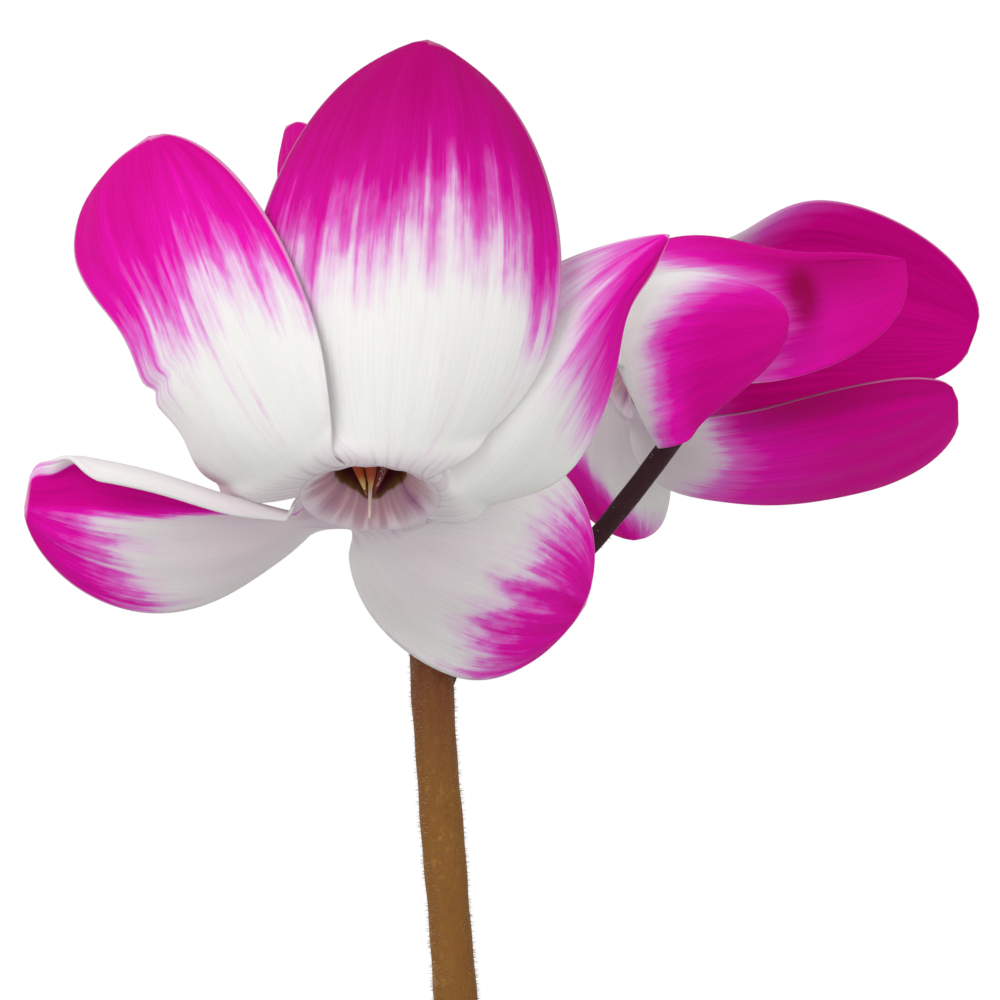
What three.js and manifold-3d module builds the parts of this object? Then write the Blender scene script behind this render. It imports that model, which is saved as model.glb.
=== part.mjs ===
// A potted florist's cyclamen: a plain clay pot of soil, a half-buried tuber, fourteen heart-shaped leaves,
// three reflexed blooms on hooked stalks and three nodding buds.
// Millimetres, +Z up. The origin is the centre of the pot's underside; the first bloom looks towards -Y.
import * as THREE from "three";
import { mergeVertices } from "three/addons/utils/BufferGeometryUtils.js";
import Module from "manifold-3d";

const wasm = await Module();
wasm.setup();

// ---------------------------------------------------------------- driving dimensions
const GAP = 0.35; // clearance between two pieces that touch in life
const FINEST = 0.02; // slivers thinner than this, left where solids cross, are cleaned away

const POT = {
  height: 104, footRadius: 41, bodyTopRadius: 55, rimRadius: 61, rimHeight: 20, wall: 4.5, floor: 6,
  drainRadius: 4, drainCircle: 22, drains: 4, segments: 26,
};
const SOIL = { top: 93, dome: 3, straight: 16, roughness: 0.8, segments: 24 };
const TUBER = { radius: 25, halfHeight: 15, centre: 92, sides: 16, rows: 7, rootDepth: 5 };

const STALK = { sides: 6, step: 10, leafStep: 16 }; // a ring of the sweep about every step
const PETAL = { thickness: 0.7, rows: 7, columns: 4, sector: 38.5 };
const TUBE = { rim: 8, throat: 3.7, depth: 7.4, wall: 0.9, segments: 15 };
const SEPAL = { length: 8.5, halfWidth: 2.1, thickness: 0.7 };
const CALYX_CUP = 3; // depth of the cup that the sepals grow from
const STAMENS = { count: 5, radius: 2.5, groove: 0.14, reach: 0.4, sides: 10, style: 0.4, styleReach: 3 };

const LEAF = { thickness: 0.9, spokes: 20, teeth: 0.035, petiole: 1.6, roll: 9 };
// Rings of leaves: how many, where the stalk meets the blade, how far the blade reaches, and how it droops.
const LEAF_RINGS = [
  { count: 8, root: 18, radius: 70, height: 136, length: 40, droop: 24, start: 6 },
  { count: 5, root: 13, radius: 41, height: 166, length: 35, droop: 13, start: 59 },
  { count: 1, root: 12, radius: 19, height: 134, length: 12.5, droop: -15, start: 240 },
];

// The blooms. Each petal has its phase round the mouth, the two free points of its middle line (from the
// mouth, in mm), the direction across it half way and at the tip, its half width, the place of the widest
// point, its width at the base, the bluntness of its tip, and how it is cupped, creased or rolled. A nick in
// a margin has its place along the petal, its depth as a share of the width, and its spread.
const FIRST = {
  mouth: [-15, -30, 272], facing: [0, -0.4695, -0.8829], stalkRadius: 2.75,
  stalk: [[1, -3], [-2.4, -2, 160], [-5.8, 0.8, 208], [-8.8, 4, 246], [-9.2, 1.4, 262], [-9.7, -5, 277],
    [-11.3, -11.5, 288.5], [-13.5, -17.6, 291.3], [-14.9, -22.6, 286.8]],
  petals: [
    { phase: 20, flare: 4, bend: [5, -15, 34], tip: [6.6, 0, 52.4], half: 19.5, widest: 0.54, base: 0.33,
      blunt: 0.95, cup: 0.8, across: [1, 0, 0], acrossTip: [1, 0, -0.1] },
    { phase: -52, flare: 7, bend: [-20, -13, 18], tip: [-26, 4, 42], half: 16, widest: 0.62, base: 0.34,
      blunt: 0.8, cup: 0.55, across: [0.77, -0.44, 0.34], acrossTip: [0.8, -0.2, 0.4],
      left: { widest: 0.88, base: 0.95, blunt: 0.42, scale: 0.97,
        nicks: [[0.7, 0.24, 0.13], [0.57, 0.1, 0.02], [0.45, 0.2, 0.14]] },
      right: { widest: 0.62, blunt: 1, scale: 0.78 } },
    { phase: -124, flare: 8, bend: [-25, 4, -4], tip: [-40.5, 4, -1], half: 15, widest: 0.66, base: 0.34,
      blunt: 0.8, cup: 0.4, across: [0, -0.5, 0.8], acrossTip: [0.1, -0.3, 0.9], columns: 8,
      left: { widest: 0.62, base: 0, scale: 0.95, blunt: 1.2 },
      right: { roll: -3.4, rollFrom: 0.33, release: 0.2, widest: 0.85, base: 0.1, blunt: 0.6, scale: 0.78,
        nicks: [[0.95, 0.38, 0.07]] } },
    { phase: 164, flare: 6, bend: [15, 22, -10], tip: [26, 36, -14], half: 16.5, widest: 0.55, base: 0.3,
      blunt: 0.8, cup: 0.4, across: [-0.5, 0, -0.86], acrossTip: [-0.5, 0, -0.86],
      right: { widest: 0.72, blunt: 0.65, scale: 0.92 } },
    { phase: 92, flare: 6, bend: [19, -4, 13], tip: [34.8, 6, 30.8], half: 12, widest: 0.6, base: 0.5,
      blunt: 1.1, cup: 0.2, crease: 0.7, across: [0.6, 0.3, -0.6], acrossTip: [0.6, 0.5, -0.6],
      left: { blunt: 1.75, nicks: [[0.55, 0.22, 0.16]] },
      right: { widest: 0.4, blunt: 2, crease: 0.35, scale: 1.25, nicks: [[0.88, 0.48, 0.08]] } },
  ],
};
const SECOND = {
  mouth: [15, 30, 290.5], facing: [-0.8794, -0.1227, -0.4601], stalkRadius: 1.4,
  stalk: [[1, 4], [-2.6, 8, 158], [-6.1, 12, 205], [-8.2, 12, 232], [-8.9, 12, 240], [-7.6, 13.5, 247.2],
    [-3.2, 16, 254.5], [3.6, 18, 259.5], [10.9, 19, 264.3], [17.6, 19.5, 272], [24.6, 21, 281], [32, 24, 289],
    [38, 28, 295.5], [35.5, 31.5, 300], [28.5, 31.8, 298]],
  petals: [
    { phase: 0, flare: 6, bend: [2, -25, 4], tip: [24, -14, 5.5], half: 15, widest: 0.6, base: 0.36,
      blunt: 0.8, cup: 0.45, across: [-0.55, 0, -0.83], acrossTip: [0.35, 0.15, -0.9],
      left: { scale: 0.55 }, right: { widest: 0.5, base: 0.8, blunt: 0.9, scale: 0.98 } },
    { phase: -72, flare: 6, bend: [18, -10, 12], tip: [42, -1, 15], half: 12, widest: 0.55, base: 0.4,
      blunt: 0.8, cup: 0.4, across: [-0.2, -0.5, -0.85], acrossTip: [0.1, -0.3, -0.95],
      left: { widest: 0.35, base: 0.5, blunt: 2.2, scale: 0.9, nicks: [[0.8, 0.45, 0.15]] },
      right: { scale: 1.4 } },
    { phase: -144, flare: 6, bend: [22, 16, 17], tip: [57, 22, 7], half: 13.5, widest: 0.72, base: 0.36,
      blunt: 0.72, cup: 0.5, across: [0, -0.4, 0.9], acrossTip: [0.2, -0.2, 0.95],
      left: { widest: 0.5, scale: 1.3 },
      right: { widest: 0.6, base: 0.05, scale: 1.3, blunt: 1.1,
        nicks: [[0.42, 0.2, 0.12], [0.56, 0.37, 0.1]] } },
    { phase: 84, flare: 6, bend: [16, 5, -18], tip: [50.5, 4, -4.5], half: 11.5, widest: 0.7, base: 0.4,
      blunt: 0.65, cup: 0.3, across: [0.2, 0.7, -0.65], acrossTip: [0.15, 0.7, -0.65],
      left: { scale: 0.8 }, right: { widest: 0.86, scale: 1.35, nicks: [[0.55, 0.15, 0.15]] } },
    { phase: 150, flare: 8, bend: [0, 22, -14], tip: [6, 34, -25], half: 11, widest: 0.6, base: 0.36,
      blunt: 0.8, cup: 0.4, across: [-0.8, 0.3, 0.3], acrossTip: [-0.9, 0, 0.3], left: { scale: 0.8 } },
  ],
};
// The third bloom is a smaller one with every petal folded straight back, so its petals follow one rule.
const THIRD = {
  mouth: [-10, 42, 287], facing: [0, -0.342, -0.9397], stalkRadius: 1.75, scale: 0.86,
  stalk: [[-1, 10], [-3.6, 13, 140], [-5.4, 17, 176], [-7.6, 25, 215], [-8.6, 33, 245], [-9.2, 44, 267],
    [-10.1, 53.5, 283], [-10.3, 57, 296], [-10.2, 54.5, 304.5], [-10, 49.3, 304.5]],
  reflexed: { step: 61, spread: [19, 24.5, 12, 13, 18], reach: [42, 38, 43, 43, 42], half: 11 },
};
const BLOOMS = [FIRST, SECOND, THIRD];

// Buds: where the stalk leaves the tuber, how far out and up it goes, and how long the bud is.
const BUD = {
  radius: 4.6, twist: 1.6, ridges: 5, ridge: 0.13, rows: 7, sides: 15, stalkRadius: 1.5, hook: 6.5,
};
const BUDS = [
  { azimuth: 167, root: 8, reach: 29, height: 195, length: 21 },
  { azimuth: 311, root: 9, reach: 30, height: 193, length: 18 },
  { azimuth: 23, root: 8, reach: 28, height: 196, length: 17 },
];

// ---------------------------------------------------------------- small helpers
const vec = (a) => new THREE.Vector3(...a);
const radians = THREE.MathUtils.degToRad;
const smooth = (x) => THREE.MathUtils.smoothstep(x, 0, 1);

// A number from 0 to 1 that looks random but depends only on n.
function jitter(n) {
  const x = Math.sin(n * 127.1 + 311.7) * 43758.5453;
  return x - Math.floor(x);
}

// A closed geometry as a solid with its faces pointing out.
function solid(geometry) {
  const bare = geometry.index ? geometry.toNonIndexed() : geometry.clone();
  for (const name of Object.keys(bare.attributes)) if (name !== "position") bare.deleteAttribute(name);
  const merged = mergeVertices(bare, 1e-4);
  const triVerts = new Uint32Array(merged.index.array);
  const make = () =>
    new wasm.Manifold(
      new wasm.Mesh({ numProp: 3, vertProperties: merged.attributes.position.array, triVerts }),
    );
  const made = make();
  if (made.volume() >= 0) return made;
  for (let i = 0; i < triVerts.length; i += 3) {
    [triVerts[i], triVerts[i + 1]] = [triVerts[i + 1], triVerts[i]];
  }
  return make();
}

function geometryOf(body) {
  const mesh = body.simplify(FINEST).getMesh();
  const positions = [];
  for (let v = 0; v < mesh.vertProperties.length; v += mesh.numProp) {
    positions.push(...mesh.vertProperties.slice(v, v + 3));
  }
  const geometry = new THREE.BufferGeometry();
  geometry.setAttribute("position", new THREE.Float32BufferAttribute(positions, 3));
  geometry.setIndex([...mesh.triVerts]);
  geometry.computeVertexNormals();
  return geometry;
}

// The largest body of a union: scraps cut loose at a crossing are dropped.
function main(body) {
  return body.decompose().sort((a, b) => b.volume() - a.volume())[0];
}

function union(bodies) {
  return bodies.reduce((sum, body) => sum.add(body));
}

// Two layers of points, split into triangles alike, joined round the border of a grid of rows and columns.
function blade(rows, columns, surface, thickness) {
  const positions = [];
  const step = 1e-3;
  for (const side of [0.5, -0.5]) {
    for (let i = 0; i <= rows; i++) {
      for (let j = 0; j <= columns; j++) {
        const s = i / rows;
        const t = (2 * j) / columns - 1;
        const along = surface(Math.min(1, s + step), t).sub(surface(Math.max(0, s - step), t));
        const across = surface(s, Math.min(1, t + step)).sub(surface(s, Math.max(-1, t - step)));
        const normal = across.cross(along).normalize();
        positions.push(...surface(s, t).addScaledVector(normal, side * thickness).toArray());
      }
    }
  }
  const index = [];
  const width = columns + 1;
  const under = (rows + 1) * width;
  for (let i = 0; i < rows; i++) {
    for (let j = 0; j < columns; j++) {
      const a = i * width + j;
      const [b, c, d] = [a + 1, a + width + 1, a + width];
      index.push(a, b, c, a, c, d, under + a, under + c, under + b, under + a, under + d, under + c);
    }
  }
  const border = [];
  for (let j = 0; j < columns; j++) border.push(j);
  for (let i = 0; i < rows; i++) border.push(i * width + columns);
  for (let j = columns; j > 0; j--) border.push(rows * width + j);
  for (let i = rows; i > 0; i--) border.push(i * width);
  border.forEach((a, k) => {
    const b = border[(k + 1) % border.length];
    index.push(b, a, under + a, b, under + a, under + b);
  });
  const geometry = new THREE.BufferGeometry();
  geometry.setAttribute("position", new THREE.Float32BufferAttribute(positions, 3));
  geometry.setIndex(index);
  return solid(geometry);
}

// A closed body of rings round an axis: place(row, angle) gives each point; the end rows are single points.
function ringed(rows, sides, place) {
  const positions = [...place(0, 0).toArray()];
  for (let i = 1; i < rows; i++) {
    for (let j = 0; j < sides; j++) positions.push(...place(i / rows, (2 * Math.PI * j) / sides).toArray());
  }
  positions.push(...place(1, 0).toArray());
  const index = [];
  const ring = (i, j) => 1 + (i - 1) * sides + (j % sides);
  const last = 1 + (rows - 1) * sides;
  for (let j = 0; j < sides; j++) {
    index.push(0, ring(1, j + 1), ring(1, j), last, ring(rows - 1, j), ring(rows - 1, j + 1));
    for (let i = 1; i < rows - 1; i++) {
      index.push(ring(i, j), ring(i, j + 1), ring(i + 1, j + 1));
      index.push(ring(i, j), ring(i + 1, j + 1), ring(i + 1, j));
    }
  }
  const geometry = new THREE.BufferGeometry();
  geometry.setAttribute("position", new THREE.Float32BufferAttribute(positions, 3));
  geometry.setIndex(index);
  return solid(geometry);
}

// A round bar swept along a smooth curve through the points.
function sweep(points, radius, step = STALK.step) {
  const path = new THREE.CatmullRomCurve3(points);
  const section = [];
  for (let k = 0; k < STALK.sides; k++) {
    const angle = (2 * Math.PI * k) / STALK.sides;
    section.push(new THREE.Vector2(radius * Math.cos(angle), radius * Math.sin(angle)));
  }
  const steps = Math.max(3, Math.round(path.getLength() / step));
  const settings = { steps, extrudePath: path, bevelEnabled: false };
  return solid(new THREE.ExtrudeGeometry(new THREE.Shape(section), settings));
}

// A lathe profile of [radius, height] pairs turned to stand along a direction at a place.
function turned(profile, segments, place = new THREE.Vector3(), along = new THREE.Vector3(0, 0, 1)) {
  const geometry = new THREE.LatheGeometry(profile.map(([r, h]) => new THREE.Vector2(r, h)), segments);
  geometry.applyQuaternion(new THREE.Quaternion().setFromUnitVectors(new THREE.Vector3(0, 1, 0), along));
  return solid(geometry.translate(place.x, place.y, place.z));
}

// ---------------------------------------------------------------- pot, soil and tuber
function makePot() {
  const { height, footRadius, bodyTopRadius, rimRadius, rimHeight, wall, floor } = POT;
  const rimBase = height - rimHeight;
  const inner = (z) => footRadius - wall + ((bodyTopRadius - footRadius) * z) / rimBase;
  const profile = [
    [0, 0], [footRadius - 1.5, 0], [footRadius, 1.5], [bodyTopRadius, rimBase], [rimRadius - 1.5, rimBase],
    [rimRadius, rimBase + 1.5], [rimRadius + 1, height - 2], [rimRadius - 1, height],
    [inner(rimBase) + 4, height], [inner(rimBase) + 2, height - 2], [inner(rimBase), rimBase - 2],
    [inner(floor), floor], [0, floor],
  ];
  let pot = turned(profile, POT.segments);
  for (let k = 0; k < POT.drains; k++) {
    const angle = Math.PI / 4 + (2 * Math.PI * k) / POT.drains;
    const drain = new THREE.CylinderGeometry(POT.drainRadius, POT.drainRadius, 4 * floor, 12);
    drain.rotateX(Math.PI / 2);
    drain.translate(POT.drainCircle * Math.cos(angle), POT.drainCircle * Math.sin(angle), 0);
    pot = pot.subtract(solid(drain));
  }
  return { solid: pot, inner };
}

function makeTuber(extra = 0) {
  return ringed(TUBER.rows, TUBER.sides, (v, angle) => {
    const polar = Math.PI * (1 - v);
    const lump = 1 + 0.03 * Math.sin(3 * angle + 1) * Math.sin(polar) + 0.02 * Math.cos(5 * angle);
    const flat = (TUBER.halfHeight + extra) * Math.sign(Math.cos(polar)) * Math.abs(Math.cos(polar)) ** 0.8;
    const radius = (TUBER.radius + extra) * Math.sin(polar) * (v === 0 || v === 1 ? 0 : lump);
    return vec([radius * Math.cos(angle), radius * Math.sin(angle), TUBER.centre + flat]);
  });
}

// The height of the tuber's top at a distance from its middle.
function crown(radius) {
  const polar = Math.asin(radius / TUBER.radius);
  return TUBER.centre + TUBER.halfHeight * Math.cos(polar) ** 0.8;
}

function makeSoil(inner) {
  const reach = (z) => inner(z) - GAP;
  const low = POT.floor + GAP;
  const shoulder = SOIL.top - SOIL.straight;
  const edge = reach(shoulder);
  const profile = [[0, low], [reach(low), low], [edge, shoulder], [edge, SOIL.top]];
  for (const share of [0.8, 0.62]) profile.push([share * edge, SOIL.top + SOIL.dome * (1 - share)]);
  profile.push([0, SOIL.top + SOIL.dome]);
  const geometry = new THREE.LatheGeometry(profile.map(([r, h]) => new THREE.Vector2(r, h)), SOIL.segments);
  geometry.rotateX(Math.PI / 2);
  const at = geometry.attributes.position;
  for (let i = 0; i < at.count; i++) {
    const [x, y, z] = [at.getX(i), at.getY(i), at.getZ(i)];
    const clods = Math.sin(0.45 * x + 1.3) * Math.cos(0.52 * y) + Math.sin(0.9 * x - 0.7 * y);
    if (z > SOIL.top - 1) at.setZ(i, z + SOIL.roughness * clods);
  }
  return solid(geometry);
}

// ---------------------------------------------------------------- blooms
function frameOf(bloom) {
  const facing = vec(bloom.facing).normalize();
  const near = new THREE.Vector3(0, -1, 0);
  near.addScaledVector(facing, -near.dot(facing)).normalize();
  return { mouth: vec(bloom.mouth), facing, near, side: near.clone().cross(facing) };
}

// A direction from the mouth's middle to its rim at an angle.
function spoke(frame, angle) {
  return frame.near.clone().multiplyScalar(Math.cos(angle)).addScaledVector(frame.side, Math.sin(angle));
}

// One side's width from the mouth to the tip, as a share of the petal's half width.
function halfWidth(s, { widest, base, blunt, scale = 1, nicks = [] }) {
  const rising = base + (1 - base) * Math.sin((Math.PI / 2) * Math.min(1, s / widest));
  const falling = Math.max(0.03, 1 - (Math.max(0, s - widest) / (1 - widest)) ** 2) ** (blunt / 2);
  const width = scale * (s < widest ? rising : falling);
  const notch = ([place, depth, spread]) => 1 - depth * Math.exp(-(((s - place) / spread) ** 2));
  return nicks.reduce((left, nick) => left * notch(nick), width);
}

// How far a point across the petal lies out from its middle line, and how far behind it.
function section(t, cup, crease, roll, rollFrom) {
  const steps = 12;
  let out = 0;
  let back = 0;
  for (let k = 0; k < steps; k++) {
    const q = (t * (k + 0.5)) / steps;
    const rolled = Math.max(0, (q - rollFrom) / (1 - rollFrom)) ** 1.5;
    const turn = cup * q + crease * Math.tanh(6 * q) + roll * rolled;
    out += (Math.cos(turn) * t) / steps;
    back += (Math.sin(turn) * t) / steps;
  }
  return [out, back];
}

// The surface of one petal: s runs from the mouth's rim to the tip and t from side to side.
function petalSurface(frame, petal, rim) {
  const phase = radians(petal.phase);
  const root = spoke(frame, phase).multiplyScalar(rim);
  const flare = root.clone().addScaledVector(spoke(frame, phase), petal.flare);
  const line = new THREE.CubicBezierCurve3(root, flare, vec(petal.bend), vec(petal.tip));
  const tangentAtRim = frame.side.clone().multiplyScalar(Math.cos(phase));
  tangentAtRim.addScaledVector(frame.near, -Math.sin(phase));
  const [middle, end] = [vec(petal.across).normalize(), vec(petal.acrossTip).normalize()];
  return (row, t) => {
    const s = 1 - (1 - row) ** 1.35;
    const along = line.getTangent(Math.max(s, 1e-3));
    const across = tangentAtRim.clone().multiplyScalar((1 - s) ** 2);
    across.addScaledVector(middle, 2 * (1 - s) * s).addScaledVector(end, s * s);
    across.addScaledVector(along, -across.dot(along)).normalize();
    const front = across.clone().cross(along);
    const side = { ...petal, ...(t > 0 ? petal.right : petal.left) };
    const open = smooth(s / 0.18);
    const [out, back] = section(Math.abs(t), petal.cup * open, (side.crease ?? 0) * open,
      (side.roll ?? 0) * smooth(s / 0.14) * smooth((1 - s) / (side.release ?? 0.12)), side.rollFrom ?? 0.5);
    const half = petal.half * halfWidth(s, side);
    const lobe = line.getPoint(s).addScaledVector(across, Math.sign(t) * out * half);
    lobe.addScaledVector(front, -back * half);
    const ring = spoke(frame, phase + t * radians(PETAL.sector)).multiplyScalar(rim);
    ring.add(line.getPoint(s)).sub(root);
    return ring.lerp(lobe, smooth(s / 0.12)).add(frame.mouth);
  };
}

// Petals folded straight back round the tube, by one rule for all five.
function reflexedPetals(bloom, frame) {
  const { step, reach, spread, half } = bloom.reflexed;
  return spread.map((wide, k) => {
    const angle = step * (k - 2);
    const out = spoke(frame, radians(angle));
    const back = (length, away) =>
      out.clone().multiplyScalar(away).addScaledVector(frame.facing, -length).toArray();
    const across = frame.side.clone().multiplyScalar(Math.cos(radians(angle)));
    across.addScaledVector(frame.near, -Math.sin(radians(angle)));
    return {
      phase: angle, flare: 4, bend: back(0.5 * reach[k], wide), tip: back(reach[k], wide), half, widest: 0.6,
      base: 0.36, blunt: 0.85, cup: 0.6, across: across.toArray(), acrossTip: across.toArray(),
    };
  });
}

function makeCorolla(bloom, frame) {
  const scale = bloom.scale ?? 1;
  const { rim, throat, depth, wall, segments } = TUBE;
  const profile = [
    [0, -depth], [throat - 0.6, -depth], [throat + 0.1, -4.2], [throat + 1.1, -2.1], [rim, 0.3],
    [rim + 0.6, -0.2], [rim - 1, -1.5], [throat + 1.2, -3], [throat - 0.6 + wall, -depth],
    [throat - 1.2, -depth - wall], [0, -depth - wall],
  ];
  const tube = turned(profile.map(([r, h]) => [scale * r, scale * h]), segments, frame.mouth, frame.facing);
  const { rows, columns, thickness } = PETAL;
  const petals = (bloom.petals ?? reflexedPetals(bloom, frame)).map((petal) =>
    blade(rows, petal.columns ?? columns, petalSurface(frame, petal, scale * rim), thickness),
  );
  return main(union([tube, ...petals]));
}

// A point measured from the mouth: out along a spoke and forward along the way that the bloom faces.
function fromMouth(frame, angle, out, forward) {
  return frame.mouth.clone().addScaledVector(spoke(frame, angle), out).addScaledVector(frame.facing, forward);
}

function makeStamens(bloom, frame) {
  const scale = bloom.scale ?? 1;
  const { count, radius, groove, reach, sides, style, styleReach } = STAMENS;
  const floor = -scale * TUBE.depth + GAP;
  const cone = ringed(4, sides, (v, angle) => {
    const out = radius * (v < 0.3 ? 1 : 1.16 - 1.16 * v) * (1 + groove * Math.cos(count * angle));
    return fromMouth(frame, angle, v === 0 || v === 1 ? 0 : scale * out, floor - (floor + reach) * v);
  });
  const pin = [[0, 0], [style, 0], [style, styleReach - floor], [0, styleReach - floor]];
  return union([cone, turned(pin, 5, fromMouth(frame, 0, 0, floor), frame.facing)]);
}

// Five sepals that hug the tube, on a cup at the stalk's end.
function makeCalyx(frame, scale, tubeEnd, tubeRadius, sepalLength) {
  const seat = tubeEnd + GAP;
  const deep = CALYX_CUP * scale;
  const cup = turned([[0, 0], [1.2 * scale, 0], [2.9 * scale, deep], [0, deep]], 10,
    fromMouth(frame, 0, 0, -seat - deep), frame.facing);
  const sepals = [];
  for (let k = 0; k < 5; k++) {
    const middle = (2 * Math.PI * k) / 5 + 0.6;
    const surface = (s, t) => {
      const hug = Math.min(1, s / 0.3);
      const out = (2.2 + (tubeRadius + GAP + 0.75 - 2.2) * smooth(hug) + 0.9 * Math.max(0, s - 0.6)) * scale;
      const taper = Math.sqrt(Math.max(0.02, 1 - s ** 2.2)) * (0.75 + 0.25 * hug);
      const wide = (SEPAL.halfWidth * scale * taper) / out;
      const rise = sepalLength * scale * s * s * (0.4 + 0.6 / (s + 0.4) / 1.1);
      const height = -seat - 1.1 * scale + SEPAL.thickness / 2 + rise;
      return fromMouth(frame, middle + t * wide, out, height);
    };
    sepals.push(blade(4, 2, surface, SEPAL.thickness));
  }
  return union([cup, ...sepals]);
}

// The stalk's points in the air, with its root sunk into the tuber.
function stalkPoints(route) {
  const [[x, y], ...rest] = route;
  const top = crown(Math.hypot(x, y));
  return [vec([x, y, top - TUBER.rootDepth]), vec([x, y, top + 2]), ...rest.map(vec)];
}

function makeStalk(bloom, frame) {
  const scale = bloom.scale ?? 1;
  const end = scale * (TUBE.depth + TUBE.wall);
  const calyx = makeCalyx(frame, scale, end, TUBE.throat + TUBE.wall + 0.35, SEPAL.length);
  const points = stalkPoints(bloom.stalk);
  points.push(fromMouth(frame, 0, 0, -end - GAP - 2.4 * scale));
  const bar = sweep(points, bloom.stalkRadius);
  return { body: union([bar, calyx]), points, radius: bloom.stalkRadius };
}

// ---------------------------------------------------------------- buds
function budFrame(bud) {
  const angle = radians(bud.azimuth);
  const out = vec([Math.cos(angle), Math.sin(angle), 0]);
  const root = out.clone().multiplyScalar(bud.root).setZ(crown(bud.root));
  const top = out.clone().multiplyScalar(bud.reach).setZ(bud.height);
  const facing = out.clone().multiplyScalar(0.35).setZ(-1).normalize();
  const near = out.clone().addScaledVector(facing, -out.dot(facing)).normalize();
  const mouth = top.clone().addScaledVector(out, 2 * BUD.hook - 1).add(vec([0, 0, -9]));
  return { root, out, top, mouth, facing, near, side: near.clone().cross(facing) };
}

function makeBud(bud, frame) {
  return ringed(BUD.rows, BUD.sides, (v, angle) => {
    const swell = Math.sin(Math.PI * v ** 0.62) ** 0.8 * (1 - 0.35 * v);
    const ridge = 1 + BUD.ridge * Math.cos(BUD.ridges * (angle + BUD.twist * v));
    const out = v === 0 || v === 1 ? 0 : BUD.radius * swell * ridge;
    return fromMouth(frame, angle, out, GAP + bud.length * v);
  });
}

function makeBudStalk(bud, frame) {
  const { root, top, out, mouth, facing } = frame;
  const rise = (share, away) => root.clone().lerp(top, share).addScaledVector(out, away);
  const points = stalkPoints([[root.x, root.y]]);
  const bow = top.clone().addScaledVector(out, BUD.hook).add(vec([0, 0, 5.5]));
  points.push(rise(0.35, -6), rise(0.7, -5), top.clone(), bow);
  points.push(mouth.clone().addScaledVector(facing, -3.5).add(vec([0, 0, 1.5])));
  points.push(mouth.clone().addScaledVector(facing, -1.6));
  const bar = sweep(points, BUD.stalkRadius);
  const cup = turned([[0, 0], [1.4, 0], [2.6, 2.4], [0, 2.4]], 10,
    mouth.clone().addScaledVector(facing, -2.4), facing);
  return { body: union([bar, cup]), points, radius: BUD.stalkRadius };
}

// ---------------------------------------------------------------- leaves
// The leaf's outline: its reach from the stalk at an angle off the tip, with a notch at the back.
function leafReach(angle, length) {
  const off = Math.abs(Math.atan2(Math.sin(angle), Math.cos(angle)));
  const tip = 0.16 * Math.exp(-((off / 0.42) ** 2));
  const notch = 0.74 * Math.exp(-(((Math.PI - off) / 0.3) ** 2));
  return length * (0.84 + tip) * (1 - notch);
}

function makeLeaf(leaf) {
  const angle = radians(leaf.azimuth);
  const out = vec([Math.cos(angle), Math.sin(angle), 0]);
  const level = vec([-Math.sin(angle), Math.cos(angle), 0]);
  const joint = out.clone().multiplyScalar(leaf.radius).setZ(leaf.height);
  const droop = radians(leaf.droop);
  const ahead = out.clone().multiplyScalar(Math.cos(droop)).setZ(-Math.sin(droop));
  const beside = level.applyAxisAngle(ahead, radians(LEAF.roll));
  const up = ahead.clone().cross(beside);
  const surface = (ring, spin) => {
    const reach = ring * leafReach(spin, leaf.length);
    const [x, y] = [reach * Math.cos(spin), reach * Math.sin(spin)];
    const arch = -0.0036 * reach * reach + 0.0012 * x * x;
    const wave = 0.045 * leaf.length * ring ** 2 * Math.sin(4 * spin + 6 * leaf.seed);
    const flat = joint.clone().addScaledVector(ahead, x).addScaledVector(beside, y);
    return flat.addScaledVector(up, arch + wave);
  };
  const shape = fan(surface, leaf.length);
  const root = out.clone().multiplyScalar(leaf.root);
  const foot = crown(leaf.root);
  const points = [
    root.clone().setZ(foot - TUBER.rootDepth), root.clone().setZ(foot + 1.5),
    root.clone().lerp(joint, 0.42).setZ(foot + 0.62 * (leaf.height - foot)),
    joint.clone().addScaledVector(out, -3.5).add(vec([0, 0, -6])), joint.clone().addScaledVector(up, -0.1),
  ];
  const radius = LEAF.petiole * (leaf.length > 30 ? 1 : 0.7);
  const stalk = sweep(points, radius, STALK.leafStep);
  return { body: union([shape, stalk]), points, radius, step: STALK.leafStep };
}

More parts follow.
